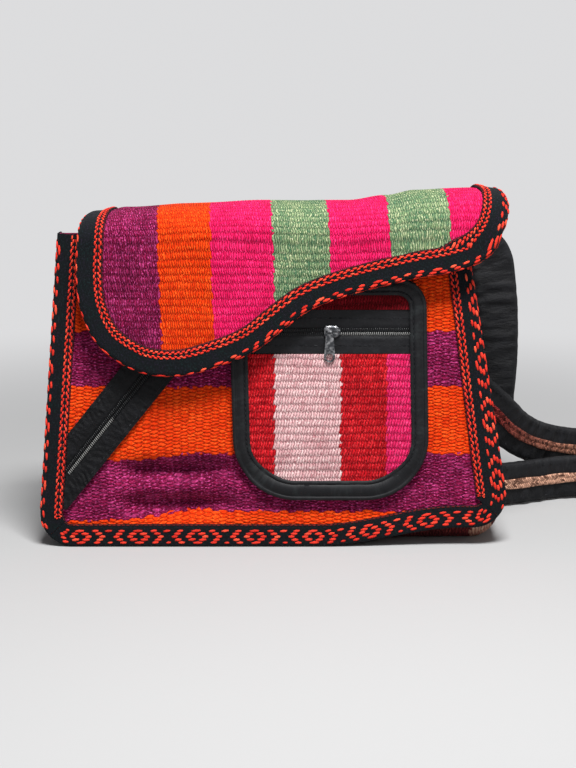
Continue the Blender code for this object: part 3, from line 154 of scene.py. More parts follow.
class Edge:
    """A flat line walked with the cloth on its left, so that out points away from the cloth."""

    def __init__(self, points, closed=False):
        self.points = [Vector(point) for point in points]
        self.closed = closed
        if closed:
            self.points.append(self.points[0].copy())
        self.marks = [0.0]
        for a, b in zip(self.points, self.points[1:]):
            self.marks.append(self.marks[-1] + (b - a).length)
        self.length = self.marks[-1]
        sides = [Vector((b.y - a.y, a.x - b.x)).normalized() for a, b in zip(self.points, self.points[1:])]
        first, last = (sides[-1], sides[0]) if closed else (sides[0], sides[-1])
        self.normals = [(a + b) / (1.0 + a.dot(b)) for a, b in zip([first] + sides, sides + [last])]

    def at(self, run, out=0.0):
        run = run % self.length if self.closed else min(max(run, 0.0), self.length)
        low, high = 0, len(self.marks) - 2
        while low < high:
            middle = (low + high + 1) // 2
            low, high = (middle, high) if self.marks[middle] <= run else (low, middle - 1)
        share = (run - self.marks[low]) / (self.marks[low + 1] - self.marks[low])
        return (self.points[low].lerp(self.points[low + 1], share)
                + self.normals[low].lerp(self.normals[low + 1], share) * out)

    def offset(self, out):
        points = [point + normal * out for point, normal in zip(self.points, self.normals)]
        return Edge(points[:-1] if self.closed else points, self.closed)


def front_fold(x, z):
    """Depth of the soft sagging folds across the lower front, which arch a little to the left."""
    fade = smoothstep((x - FOLD_LEFT) / 0.034) * (0.10 + 0.90 * smoothstep((FOLD_RIGHT - x) / FOLD_FADE))
    fade *= smoothstep((0.140 - x) / 0.034)
    arch = 0.0015 * (1.0 - ((x + 0.03) / 0.10) ** 2)
    return FOLD_DEPTH * fade * sum(math.exp(-((z - height - arch) / reach) ** 2) for height, reach in FOLDS)


def panel_depth(z):
    """How far each panel stands from the bag's middle at a height."""
    return BASE_DEPTH / 2 - LEAN * z


def place_front(x, z, high=0.0):
    return Vector((x, front_fold(x, z) - panel_depth(z) - high, z))


def place_back(x, z, high=0.0):
    return Vector((x, panel_depth(z) + high, z))


def panel_edge(lift, height):
    """Outer edge of a panel: down the left side, along the base and up the right side."""
    floor = PANEL_FLOOR
    top_left, top_right = Vector((-MOUTH_LEFT, height)), Vector((MOUTH_RIGHT, height))
    left_arc = fillet(top_left, (-BASE_LEFT, floor), (0.0, floor), CORNER_RADIUS, CORNER_STEPS)
    right_arc = fillet((LIFT_END, floor + lift), (BASE_RIGHT, floor + lift), top_right, CORNER_RADIUS,
                       CORNER_STEPS)
    left_side = [top_left.lerp(left_arc[0], k / SIDE_STEPS) for k in range(SIDE_STEPS)]
    right_side = [right_arc[-1].lerp(top_right, (k + 1) / SIDE_STEPS) for k in range(SIDE_STEPS)]
    base = []
    for k in range(1, BASE_STEPS):
        x = left_arc[-1].x + (right_arc[0].x - left_arc[-1].x) * k / BASE_STEPS
        base.append(Vector((x, floor + lift * smoothstep((x - LIFT_START) / (LIFT_END - LIFT_START)))))
    return Edge(left_side + left_arc + base + right_arc + right_side)


def crest(x):
    """Height of the flap's lining over the top of the bag; it stands higher at the right."""
    if x <= CREST[0][0]:
        return CREST[0][1]
    for (x0, z0), (x1, z1) in zip(CREST, CREST[1:]):
        if x <= x1:
            return z0 + (z1 - z0) * smoothstep((x - x0) / (x1 - x0))
    return CREST[-1][1]


def place_flap(x, run, high=0.0):
    """Point on the flap: up the front to the shoulder, over the crest and down the back."""
    front = -panel_depth(FLAP_SHOULDER) - FLAP_STANDOFF
    back = panel_depth(FLAP_SHOULDER - FLAP_BACK_DROP) + RIBBON_FACE + SEAM_GAP
    if run <= FLAP_SHOULDER:
        return Vector((x, -panel_depth(run) - FLAP_STANDOFF - high, run))
    if run >= FLAP_SHOULDER + CREST_RUN:
        return Vector((x, back + high, 2 * FLAP_SHOULDER + CREST_RUN - run))
    turn = math.pi * (run - FLAP_SHOULDER) / CREST_RUN
    reach, rise = (back - front) / 2, crest(x) - FLAP_SHOULDER
    side = -1.0 if turn < math.pi / 2 else 1.0
    along, up = abs(math.cos(turn)) ** CREST_SQUARE, abs(math.sin(turn)) ** CREST_SQUARE
    steep = 2.0 / CREST_SQUARE - 1.0
    normal = Vector((0.0, side * along ** steep / reach, up ** steep / rise)).normalized()
    return Vector((x, (front + back) / 2 + side * reach * along, FLAP_SHOULDER + rise * up)) + normal * high


def flap_edge():
    """The flap's edge: down its left side from the back, along the S-shaped front and up the right."""
    over = FLAP_SHOULDER + CREST_RUN
    points = [
        (-0.1190, over + FLAP_BACK_DROP), (-0.1225, over - 0.4 * CREST_RUN), (-0.1245, 0.2050),
        (-0.1255, 0.1780), (-0.1226, 0.1560), (-0.1107, 0.1337), (-0.0865, 0.1183), (-0.0595, 0.1157),
        (-0.0330, 0.1225), (-0.0112, 0.1318), (0.0074, 0.1459), (0.0234, 0.1575), (0.0433, 0.1657),
        (0.0656, 0.1720), (0.0937, 0.1785), (0.1160, 0.1825), (0.1351, 0.1898), (0.1476, 0.2050),
        (0.1520, over - 0.66 * CREST_RUN), (0.1490, over - 0.30 * CREST_RUN), (0.1445, over),
        (0.1440, over + FLAP_BACK_DROP),
    ]
    return Edge(curve_through(points, 10)).offset(-RIBBON_OUT)


def pocket_edge():
    """Outer edge of the pocket's binding, walked with the pocket on its left."""
    top_left, low_left = (POCKET_LEFT, POCKET_TOP), (POCKET_LEFT + POCKET_LEAN, POCKET_BOTTOM)
    low_right, top_right = (POCKET_RIGHT, POCKET_BOTTOM), (POCKET_RIGHT - POCKET_LEAN, POCKET_TOP)
    ring = fillet(top_right, top_left, low_left, POCKET_TOP_RADIUS, 12)
    ring += fillet(top_left, low_left, low_right, POCKET_LOW_RADIUS, 20)
    ring += fillet(low_left, low_right, top_right, POCKET_LOW_RADIUS, 20)
    ring += fillet(low_right, top_right, top_left, POCKET_TOP_RADIUS, 12)
    return Edge(ring, closed=True)


def clip(outline, on, away):
    """The part of an outline behind a line; away points to the side that is cut off."""
    on, away = Vector(on), Vector(away)
    kept = []
    for a, b in zip(outline, outline[1:] + outline[:1]):
        side_a, side_b = (a - on).dot(away), (b - on).dot(away)
        if side_a <= 0:
            kept.append(a)
        if side_a * side_b < 0:
            kept.append(a.lerp(b, side_a / (side_a - side_b)))
    return kept


# Making meshes

def weft_place(along, across, seed):
    """Place along the wefts, a little uneven, as the warps are; its whole bands end in valleys."""
    return (along + 0.0008 * ripple(along * 60, across * 34, seed)
            + 0.0020 * ripple(along * 12, across * 22, seed + 4.0))


def pucker(place):
    """Rise of the cloth between two warps, from 0 in the valley to 1."""
    return abs(math.sin(math.pi * place / WEFT_BAND)) ** 0.65


def sewn_piece(name, node, points, faces, finish, uvs, smooth=60):
    """One closed piece from points and faces; uvs gives each point's place on the flat cloth."""
    mesh = bpy.data.meshes.new(name)
    build = bmesh.new()
    layer = build.loops.layers.uv.new("cloth")
    corners = [build.verts.new(point) for point in points]
    for face in faces:
        made = build.faces.new([corners[i] for i in face])
        made.smooth = True
        for loop, i in zip(made.loops, face):
            loop[layer].uv = uvs[i]
    bmesh.ops.recalc_face_normals(build, faces=build.faces)
    build.to_mesh(mesh)
    build.free()
    if smooth:
        mesh.set_sharp_from_angle(angle=math.radians(smooth))
    mesh.materials.append(finish)
    piece = bpy.data.objects.new(name, mesh)
    bpy.context.scene.collection.objects.link(piece)
    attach(piece, "bag")
    return piece


def resampled(outline, step):
    """The outline with a point at least every step."""
    out = []
    for a, b in zip(outline, outline[1:] + outline[:1]):
        count = max(1, math.ceil((b - a).length / step))
        out += [a.lerp(b, k / count) for k in range(count)]
    return out


def spaced(outline, least):
    """The outline without the points that lie closer than least to the one before."""
    kept = [outline[0]]
    for point in outline[1:]:
        if (point - kept[-1]).length > least:
            kept.append(point)
    return kept if (kept[0] - kept[-1]).length > least else kept[:-1]


def cut_cloth(name, node, outline, across, along, place, low, high, finish, weave=None):
    """A cloth piece; across and along are the steps between its points, and weave draws its yarns."""
    rim = spaced(resampled([Vector(p) for p in outline], min(across, along) * 1.25), 0.0004)
    points = list(rim)
    bottom, top = min(p.y for p in rim), max(p.y for p in rim)
    rows = int((top - bottom) / along)
    for r in range(1, rows + 1):
        z = bottom + (r - 0.5) * (top - bottom) / rows
        crossings = sorted(a.x + (b.x - a.x) * (z - a.y) / (b.y - a.y)
                           for a, b in zip(rim, rim[1:] + rim[:1]) if (a.y > z) != (b.y > z))
        shift = 0.5 * (r % 2)
        for left, right in zip(crossings[::2], crossings[1::2]):
            k = math.ceil((left + across * 0.55) / across - shift)
            while (k + shift) * across < right - across * 0.55:
                points.append(Vector(((k + shift) * across, z)))
                k += 1
    flat, _, tris, _, _, _ = delaunay_2d_cdt(points, [], [list(range(len(rim)))], 1, 1e-7)
    size = len(flat)
    made = [place(p.x, p.y, face(p.x, p.y)) for face in (high, low) for p in flat]
    faces = [tuple(tri) for tri in tris]
    follow = {(a, b) for tri in faces for a, b in zip(tri, tri[1:] + tri[:1])}
    faces += [tuple(i + size for i in reversed(tri)) for tri in tris]
    faces += [(b, a, a + size, b + size) for a, b in sorted(follow) if (b, a) not in follow]
    uvs = [weave(p.x, p.y) if weave else (p.x, p.y) for p in flat]
    piece = sewn_piece(name, node, made, faces, finish, uvs * 2)
    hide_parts(node)
    return piece


def swept(name, node, rings, finish, closed=False):
    """A piece through a row of rings. A ring is pairs of a point and its place on the flat cloth."""
    size, count = len(rings[0]), len(rings)
    points, uvs = zip(*(pair for ring in rings for pair in ring))
    faces = []
    for i in range(count if closed else count - 1):
        near, far = i * size, (i + 1) % count * size
        for k in range(size):
            nxt = (k + 1) % size
            faces.append((near + k, near + nxt, far + nxt, far + k))
    if not closed:
        faces.append(tuple(range(size)))
        faces.append(tuple(range((count - 1) * size, count * size)))
    piece = sewn_piece(name, node, points, faces, finish, uvs)
    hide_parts(node)
    return piece


# Threads and zip teeth, each shaped once and copied

def taken_shape(made):
    """The points and faces of a shape, which is then removed."""
    shape = ([v.co.copy() for v in made.data.vertices], [tuple(f.vertices) for f in made.data.polygons])
    bpy.data.objects.remove(made, do_unlink=True)
    return shape


def thread_shape():
    """One short thread lying on the cloth: half of a small rounded bead, closed underneath."""
    bpy.ops.mesh.primitive_uv_sphere_add(segments=6, ring_count=4, radius=0.5)
    bpy.ops.object.mode_set(mode="EDIT")
    bpy.ops.mesh.select_all(action="SELECT")
    bpy.ops.mesh.bisect(plane_co=(0, 0, 0), plane_no=(0, 0, 1), use_fill=True, clear_inner=True)
    bpy.ops.object.mode_set(mode="OBJECT")
    return taken_shape(bpy.context.object)


def coil_shape():
    """One turn of a zip coil: a ring drawn out long across the tape and pressed flat."""
    bpy.ops.mesh.primitive_torus_add(major_segments=10, minor_segments=5, major_radius=0.36,
                                     minor_radius=0.14)
    bpy.ops.object.mode_set(mode="EDIT")
    bpy.ops.mesh.select_all(action="SELECT")
    bpy.ops.transform.rotate(value=math.radians(90), orient_axis="X", center_override=(0, 0, 0))
    bpy.ops.object.mode_set(mode="OBJECT")
    return taken_shape(bpy.context.object)


THREAD = thread_shape()
COIL_TURN = coil_shape()


def threads(name, node, stitches, lay, finish, tall):
    """Many short threads as one piece of a node; lay gives the point at a run, an across and a height."""
    shape, sides = THREAD
    points, faces, uvs = [], [], []
    for number, (run, across, long, wide, slant) in enumerate(stitches):
        turn = math.radians(slant)
        first = len(points)
        for p in shape:
            a, b = p.x * long, p.y * wide
            points.append(lay(run + a * math.cos(turn) - b * math.sin(turn),
                              across + a * math.sin(turn) + b * math.cos(turn), p.z * 2 * tall))
            uvs.append((a + 0.01 * number, b))
        faces += [tuple(first + i for i in side) for side in sides]
    return sewn_piece(name, node, points, faces, finish, uvs, smooth=0)


# Finishes

class Patch:
    """Nodes of one finish, wired up in a few words each."""

    def __init__(self, tree):
        self.tree = tree

    def node(self, kind, feeds=(), **settings):
        made = self.tree.nodes.new(kind)
        for key, value in settings.items():
            setattr(made, key, value)
        for where, value in dict(feeds).items():
            self.feed(made.inputs[where], value)
        return made

    def feed(self, socket, value):
        if isinstance(value, bpy.types.NodeSocket):
            self.tree.links.new(value, socket)
        elif socket.type == "RGBA" and len(value) == 3:
            socket.default_value = (*value, 1.0)
        else:
            socket.default_value = value

    def math(self, operation, *values):
        made = self.node("ShaderNodeMath", operation=operation)
        for socket, value in zip(made.inputs, values):
            self.feed(socket, value)
        return made.outputs[0]

    def add(self, total, *others):
        for value in others:
            total = self.math("ADD", total, value)
        return total

    def times(self, total, *others):
        for value in others:
            total = self.math("MULTIPLY", total, value)
        return total

    def minus(self, a, b):
        return self.math("SUBTRACT", a, b)

    def over(self, a, b):
        return self.math("DIVIDE", a, b)

    def sine(self, value):
        return self.math("SINE", value)

    def mix(self, share, a, b, blend="MIX"):
        made = self.node("ShaderNodeMix", data_type="RGBA", blend_type=blend)
        for index, value in ((0, share), (6, a), (7, b)):
            self.feed(made.inputs[index], value)
        return made.outputs[2]

    def noise(self, place, scale, detail=2.0, rough=0.5):
        feeds = {"Vector": place, "Scale": scale, "Detail": detail, "Roughness": rough}
        return self.node("ShaderNodeTexNoise", feeds).outputs["Fac"]

    def luck(self, *numbers):
        """A chance value from 0 to 1 for each whole number, or for each pair of them."""
        feeds = {"W": numbers[0]} if len(numbers) == 1 else {"Vector": self.joined(*numbers)}
        made = self.node("ShaderNodeTexWhiteNoise", feeds, noise_dimensions=f"{len(numbers)}D")
        return made.outputs["Value"]

    def share(self, value, low, high, **settings):
        """How far the value is from low to high, held between 0 and 1."""
        feeds = {"Value": value, "From Min": low, "From Max": high}
        return self.node("ShaderNodeMapRange", feeds, **settings).outputs[0]

    def ramp(self, value, stops, constant=False):
        made = self.node("ShaderNodeValToRGB", {"Fac": value})
        ramp = made.color_ramp
        ramp.interpolation = "CONSTANT" if constant else "LINEAR"
        while len(ramp.elements) < len(stops):
            ramp.elements.new(1.0)
        for element, (position, colour) in zip(ramp.elements, stops):
            element.position = position
            element.color = (*colour, 1.0)
        return made.outputs["Color"]

    def moved(self, place, scale=(1, 1, 1), spot=(0, 0, 0)):
        return self.node("ShaderNodeMapping", {"Vector": place, "Scale": scale, "Location": spot}).outputs[0]

    def apart(self, place):
        return self.node("ShaderNodeSeparateXYZ", {"Vector": place}).outputs

    def joined(self, x, y, z=0.0):
        return self.node("ShaderNodeCombineXYZ", {"X": x, "Y": y, "Z": z}).outputs[0]


class Effect(Patch):
    """An effect that several finishes share: a node group with named inputs and outputs."""

    KINDS = {"value": "NodeSocketFloat", "place": "NodeSocketVector", "colour": "NodeSocketColor"}

    def __init__(self, name, inputs, outputs):
        super().__init__(bpy.data.node_groups.new(name, "ShaderNodeTree"))
        for sockets, way in ((inputs, "INPUT"), (outputs, "OUTPUT")):
            for label, kind in sockets.items():
                self.tree.interface.new_socket(name=label, in_out=way, socket_type=self.KINDS[kind])
        self.given = self.tree.nodes.new("NodeGroupInput").outputs[:len(inputs)]
        self.made = self.tree.nodes.new("NodeGroupOutput").inputs

    def give(self, results):
        for label, value in results.items():
            self.feed(self.made[label], value)
        return self.tree


def woven_beads_effect():
    """The weave: bands one warp wide, each a stack of long yarn beads set half a bead from its neighbours.

    The beads' ends nest into the next band, so that no straight line runs between two bands.
    """
    p = Effect("woven beads",
               {"Weave": "place", "Bead Width": "value", "Band Height": "value", "Wander": "value",
                "Slant": "value", "Nest": "value"},
               {"Relief": "value", "Bead": "value", "Band": "value", "Across": "value", "Up": "value"})
    weave, bead_width, band_height, wander, slant, nest = p.given
    x, y, _ = p.apart(weave)

    def drift(spot, scale, detail, reach):
        return p.times(p.minus(p.noise(p.moved(weave, spot=spot), scale, detail), 0.5), reach)

    def rounded(place, sharpness):
        return p.minus(1.0, p.math("POWER", p.math("ABSOLUTE", p.times(place, 2.0)), sharpness))

    sway = drift((3, 5, 0), 110.0, 1.0, wander)
    shiver = drift((7, 2, 0), 420.0, 1.0, p.times(wander, 0.55))
    ragged = drift((1, 9, 0), 330.0, 2.0, 0.0026)
    swayed = p.add(x, sway, shiver)
    level = p.over(p.add(y, ragged), band_height)
    beat = p.over(swayed, bead_width)
    nesting = p.times(p.math("COSINE", p.times(beat, 2 * math.pi)), p.math("COSINE", p.times(level, math.pi)))
    rise = p.minus(level, p.times(nesting, nest))
    band = p.math("FLOOR", rise)
    in_band = p.minus(p.minus(rise, band), 0.5)
    band_luck = p.luck(band)
    shift = p.add(p.math("FRACT", p.times(band, 0.5)), p.times(band_luck, 0.14))
    along = p.add(p.over(p.add(swayed, p.times(in_band, band_height, slant)), bead_width), shift)
    bead = p.math("FLOOR", along)
    in_bead = p.minus(p.minus(along, bead), 0.5)
    bead_luck = p.luck(bead, band)
    swell = p.math("MAXIMUM", p.times(rounded(in_bead, 2.0), rounded(in_band, 2.6)), 0.0)
    return p.give({
        "Relief": p.times(p.math("POWER", swell, 0.62), p.add(0.72, p.times(bead_luck, 0.28))),
        "Bead": bead_luck, "Band": band_luck,
        "Across": p.minus(p.times(p.minus(p.add(bead, 0.5), shift), bead_width), sway),
        "Up": p.times(p.add(band, 0.5), band_height)})


def dyed_yarn_effect():
    """Yarn colour: each bead's own tone, flecks of fibre, cloudy dyeing, and painted shade between the beads.
    """
    p = Effect("dyed yarn",
               {"Weave": "place", "Yarn": "colour", "Pale Fleck": "colour", "Deep Fleck": "colour",
                "Bead": "value", "Relief": "value", "Depth": "value"}, {"Colour": "colour"})
    weave, colour, pale, deep, bead, relief, gap_shade = p.given
    drawn = p.moved(weave, scale=(1.0, 0.45, 1.0))
    pale_fibre = p.noise(drawn, 1300.0, 1.0)
    deep_fibre = p.noise(p.moved(drawn, spot=(4, 1, 0)), 1000.0, 1.0)
    clouds = p.noise(weave, 46.0, 3.0)
    for mask, low, high, most, fleck in (
            (bead, 0.62, 1.0, 0.20, pale), (bead, 0.40, 0.0, 0.45, deep),
            (pale_fibre, 0.54, 0.68, 0.90, pale), (deep_fibre, 0.52, 0.68, 0.75, deep),
            (clouds, 0.42, 0.72, 0.45, deep)):
        colour = p.mix(p.times(p.share(mask, low, high), most), colour, fleck)
    # Painted shade: the colour darkens towards a blackened deep fleck between the beads
    gap = p.times(p.math("POWER", p.minus(1.0, relief), 1.5), gap_shade)
    return p.give({"Colour": p.mix(gap, colour, p.mix(0.55, deep, (0.0, 0.0, 0.0)))})


def nylon_crinkle_effect():
    """Fine taffeta weave with small creases pressed across it, with a painted highlight where they stand up.
    """
    p = Effect("nylon crinkle",
               {"Cloth": "place", "Crease Length": "value", "Colour": "colour", "Crest Highlight": "colour"},
               {"Height": "value", "Colour": "colour", "Roughness": "value"})
    cloth, crease_length, colour, edge = p.given
    x, y, _ = p.apart(cloth)
    creased = p.joined(x, p.over(y, crease_length))
    wide, fine = p.noise(creased, 150.0), p.noise(p.moved(creased, spot=(2, 6, 0)), 520.0, 2.0, 0.6)
    crease = p.add(p.times(wide, 0.65), p.times(fine, 0.35))
    weave = p.times(p.sine(p.times(x, 9500.0)), p.sine(p.times(y, 9500.0)))
    return p.give({
        "Height": p.add(crease, p.times(weave, 0.035)),
        # Painted highlight: the colour turns paler where the creases stand up
        "Colour": p.mix(p.times(p.share(crease, 0.50, 0.66), 0.75), colour, edge),
        "Roughness": p.add(0.44, p.times(crease, 0.22))})


WOVEN_BEADS, DYED_YARN, NYLON_CRINKLE = woven_beads_effect(), dyed_yarn_effect(), nylon_crinkle_effect()


class Finish(Patch):
    """A named material; what is the same all over is set on its shader itself."""

    def __init__(self, name, rough, specular=0.5, sheen=0.0, metallic=0.0):
        self.material = bpy.data.materials.new(name)
        self.material.use_nodes = True
        super().__init__(self.material.node_tree)
        self.shader = self.tree.nodes["Principled BSDF"]
        for label, value in (("Roughness", rough), ("Specular IOR Level", specular), ("Sheen Weight", sheen),
                             ("Sheen Roughness", 0.5), ("Metallic", metallic)):
            self.shader.inputs[label].default_value = value

    def cloth(self):
        """Place on the flat cloth."""
        return self.node("ShaderNodeUVMap", uv_map="cloth").outputs[0]

    def effect(self, tree, feeds):
        return self.node("ShaderNodeGroup", feeds, node_tree=tree).outputs

    def surface(self, colour, height, strength, distance, rough=None):
        """Gives the shader its colour, its raised surface and any change of roughness."""
        bump = self.node("ShaderNodeBump", {"Strength": strength, "Distance": distance, "Height": height})
        self.feed(self.shader.inputs["Base Color"], colour)
        self.feed(self.shader.inputs["Normal"], bump.outputs[0])
        if rough:
            self.feed(self.shader.inputs["Roughness"], rough)
        return self.material


def striped_cloth(name, stripes, reach, bead, turned=False, wander=0.0024, gap_shade=0.80, slant=0.0, lean=0.0,
                  nest=0.17, step=0.0012):
    """Handwoven cloth whose wefts run up it, or along it where it is turned.

    Reach is how far the stripes go in all, lean is how much they drift sideways, and step is how
    unevenly they end from band to band.
    """
    p = Finish(name, 0.90, specular=0.05, sheen=0.02)
    p.shader.inputs["Sheen Tint"].default_value = (1.0, 0.9, 0.85, 1.0)
    weave = p.cloth()
    if turned:
        x, y, _ = p.apart(weave)
        weave = p.joined(y, x)
    beads = p.effect(WOVEN_BEADS, {"Weave": weave, "Bead Width": bead, "Band Height": WEFT_BAND,
                                   "Wander": wander, "Slant": slant, "Nest": nest})
    where = p.add(beads["Across"], p.times(p.minus(beads["Band"], 0.5), step))
    if lean:
        where = p.add(where, p.times(p.minus(beads["Up"], 0.165), lean))
    low, high = reach
    share = p.over(p.minus(where, low), high - low)
    starts = [0.0] + [min(max((end - low) / (high - low), 0.0), 1.0) for _, end in stripes[:-1]]
    yarn, pale, deep = (p.ramp(share, [(start, tones[i]) for start, (tones, _) in zip(starts, stripes)], True)
                        for i in range(3))
    dyed = p.effect(DYED_YARN, {"Weave": weave, "Yarn": yarn, "Pale Fleck": pale, "Deep Fleck": deep,
                                "Bead": beads["Bead"], "Relief": beads["Relief"], "Depth": gap_shade})
    fibre = p.times(p.noise(p.moved(weave, scale=(1.0, 0.35, 1.0)), 2400.0), 0.24)
    return p.surface(dyed["Colour"], p.add(beads["Relief"], fibre), 0.95, 0.00075)


# Its edge colour is the painted highlight on the creases' crests
def nylon_finish(name, crease=1.0, colour=NYLON, edge=(0.011, 0.0115, 0.014), distance=0.0006, shine=0.20):
    p = Finish(name, 0.5, specular=shine, sheen=0.015)
    out = p.effect(NYLON_CRINKLE, {"Cloth": p.cloth(), "Crease Length": crease, "Colour": colour,
                                   "Crest Highlight": edge})
    return p.surface(out["Colour"], out["Height"], 0.8, distance, out["Roughness"])


def ribbon_finish():
    """Black warp-faced ribbon: fine ribs across it, with a few greenish and violet specks."""
    p = Finish("black ribbon", 0.80, specular=0.10, sheen=0.02)
    cloth = p.cloth()
    x, y, _ = p.apart(cloth)
    ribs, cords = p.sine(p.times(x, 9200.0)), p.sine(p.times(y, 7800.0))
    speck = p.share(p.noise(cloth, 900.0), 0.50, 0.80)
    tint = p.ramp(p.noise(cloth, 140.0), [(0.38, (0.008, 0.030, 0.028)), (0.62, (0.026, 0.014, 0.036))])
    return p.surface(p.mix(p.times(speck, 0.8), INK, tint), p.times(p.add(ribs, cords), 0.5), 0.7, 0.00022)


def thread_finish(name, colour, pale, deep):
    """Stitched or floated thread: fine plies along it and a tint of its own for each stitch."""
    p = Finish(name, 0.72, specular=0.10, sheen=0.02)
    x, y, _ = p.apart(p.cloth())
    luck = p.luck(p.math("ROUND", p.times(x, 100.0)))
    tone = p.ramp(luck, [(0.0, deep), (0.40, colour), (0.75, colour), (1.0, pale)])
    plies = p.sine(p.add(p.times(y, 22000.0), p.times(x, 5000.0)))
    return p.surface(p.mix(p.times(p.add(plies, 1.0), 0.16), tone, deep), plies, 0.6, 0.00010)


def band_finish():
    """Narrow woven band: two columns of V stitches whose yarn turns from dark red to peach."""
    p = Finish("strap band", 0.84, specular=0.08, sheen=0.03)
    x, y, _ = p.apart(p.cloth())
    column = BAND_WIDTH / 4
    slope = p.times(p.math("PINGPONG", p.add(y, 0.5), column), 0.9)
    rise = p.over(p.add(x, slope), 0.0017)
    height = p.sine(p.times(p.math("FRACT", rise), math.pi))
    luck = p.luck(p.math("FLOOR", rise), p.math("FLOOR", p.over(p.add(y, 0.5), column)))
    yarn = p.ramp(p.over(x, 0.80),
                  [(0.0, (0.16, 0.012, 0.014)), (0.20, (0.22, 0.020, 0.022)), (0.26, (0.32, 0.11, 0.075)),
                   (0.31, (0.44, 0.20, 0.13)), (0.38, (0.66, 0.38, 0.27)), (1.0, (0.64, 0.36, 0.25))])
    fleck = p.ramp(luck, [(0.0, (0.14, 0.10, 0.09)), (0.45, (0.75, 0.70, 0.68)), (1.0, (1.4, 1.35, 1.3))])
    # Painted shade: the yarn darkens to near black between the stitches
    gap = p.times(p.math("POWER", p.minus(1.0, height), 2.0), 0.85)
    colour = p.mix(gap, p.mix(1.0, yarn, fleck, "MULTIPLY"), (0.010, 0.006, 0.006))
    return p.surface(colour, height, 0.9, 0.0005)


def coil_finish(name, start, end, highlight_grey):
    """Black nylon coil with a grey painted highlight on its turns from start to end."""
    p = Finish(name, 0.34, specular=0.45)
    cloth = p.cloth()
    x, y, _ = p.apart(cloth)
    inside = p.minus((end - start) / 2, p.math("ABSOLUTE", p.minus(x, (start + end) / 2)))
    # Painted highlight: uneven grey laid over the black coil between start and end
    painted_highlight = p.times(p.share(inside, 0.0, 0.003), p.add(0.45, p.times(p.noise(cloth, 700.0), 0.8)))
    colour = p.mix(painted_highlight, (0.0045, 0.005, 0.006), (highlight_grey, highlight_grey, highlight_grey * 0.96))
    return p.surface(colour, p.noise(cloth, 3000.0), 0.4, 0.0001)


def zinc_finish():
    """Dull grey zinc with brighter rubbed patches and fine scratches."""
    p = Finish("zinc slider", 0.36, metallic=1.0)
    spot = p.node("ShaderNodeTexCoord").outputs["Object"]
    wear = p.share(p.noise(spot, 420.0, 4.0), 0.46, 0.68)
    scratch = p.noise(p.moved(spot, scale=(1.0, 1.0, 0.08)), 2600.0, 3.0)
    return p.surface(p.mix(wear, (0.065, 0.068, 0.074), (0.38, 0.38, 0.39)), scratch, 0.25, 0.00012,
                     p.add(0.26, p.times(scratch, 0.26)))


FRONT_FINISH = striped_cloth("front cloth", FRONT_STRIPES, (0.0, 0.21), 0.00225, turned=True)
BACK_FINISH = striped_cloth("back cloth", FRONT_STRIPES, (0.0, 0.21), 0.00225, turned=True)
FLAP_FINISH = striped_cloth("flap cloth", FLAP_STRIPES, (-0.13, 0.16), 0.00155, slant=0.10, lean=0.035,
                            nest=0.13, wander=0.0030, step=0.0007)
POCKET_FINISH = striped_cloth("pocket cloth", POCKET_STRIPES, (-0.03, 0.11), 0.00185, wander=0.0020,
                              gap_shade=0.72, slant=-0.26, nest=0.13, step=0.0004)
# Painted shadow: the top strip's crimson is darkened as if in the flap's shade
POCKET_TOP_FINISH = striped_cloth("pocket top cloth", [(CRIMSON_IN_PAINTED_SHADOW, 1.0)], (-0.03, 0.11), 0.00185, slant=-0.26)
GUSSET_FINISH = striped_cloth("gusset cloth", GUSSET_STRIPES, (0.0, 0.70), 0.0022)
# The edge colours here are painted highlights on the creases' crests
NYLON_PIPING = nylon_finish("nylon piping", crease=2.0, edge=(0.014, 0.017, 0.018))
NYLON_TAPE = nylon_finish("nylon tape", distance=0.0005)
GATHERED_NYLON = nylon_finish("gathered nylon", colour=(0.0026, 0.0027, 0.0034), edge=(0.007, 0.0072, 0.009),
                              distance=0.0018, shine=0.13)
NYLON_STRAP = nylon_finish("strap nylon", crease=3.0, distance=0.0022)
RIBBON_FINISH = ribbon_finish()
CORAL_THREAD = thread_finish("coral thread", CORAL, (1.0, 0.13, 0.060), (0.60, 0.020, 0.012))
RED_THREAD = thread_finish("dark red thread", (0.17, 0.012, 0.014), (0.30, 0.022, 0.022),
                           (0.07, 0.006, 0.007))
BLACK_THREAD = thread_finish("black thread", (0.020, 0.021, 0.024), (0.050, 0.052, 0.056),
                             (0.006, 0.006, 0.008))
PINK_THREAD = thread_finish("pink thread", (0.86, 0.03, 0.16), (0.92, 0.10, 0.28), (0.60, 0.01, 0.08))
BAND_FINISH = band_finish()
# Only the lower coils get the grey painted highlight; the upper ones stay black, their highlighted stretch
# lying off the zip
ZIP_COIL = coil_finish("zip coil", -1.1, -1.0, 0.02)
POCKET_COIL = coil_finish("pocket zip coil", 0.040, 0.110, 0.20)
SLASH_COIL = coil_finish("slanting zip coil", -0.010, SLASH_SEAM, 0.22)
ZINC = zinc_finish()


# Woven body

def front_weave(x, z):
    """Place on the flat cloth; the folds pull its wefts down at the lower left."""
    pull = 0.0060 * smoothstep((-0.042 - x) / 0.066) * (1.0 - smoothstep((z - 0.050) / 0.050))
    return weft_place(x, z, 1.0), z + pull


def front_rows(x, z):
    """The front cloth's face: soft puckers between the warps and slight unevenness."""
    return 0.00045 * pucker(weft_place(x, z, 1.0)) + 0.00030 * ripple(x * 26, z * 34, 2.0)


def make_front(edge):
    piece = cut_cloth("front_cloth", "front_panel", edge.points, 0.00125, 0.0028, place_front,
                      lambda x, z: -CLOTH, front_rows, FRONT_FINISH, front_weave)


def make_back(edge):
    piece = cut_cloth("back_cloth", "back_panel", edge.points, 0.00125, 0.0040, place_back,
                      lambda x, z: -CLOTH, lambda x, z: 0.7 * front_rows(x, z) - 0.0003, BACK_FINISH,
                      front_weave)


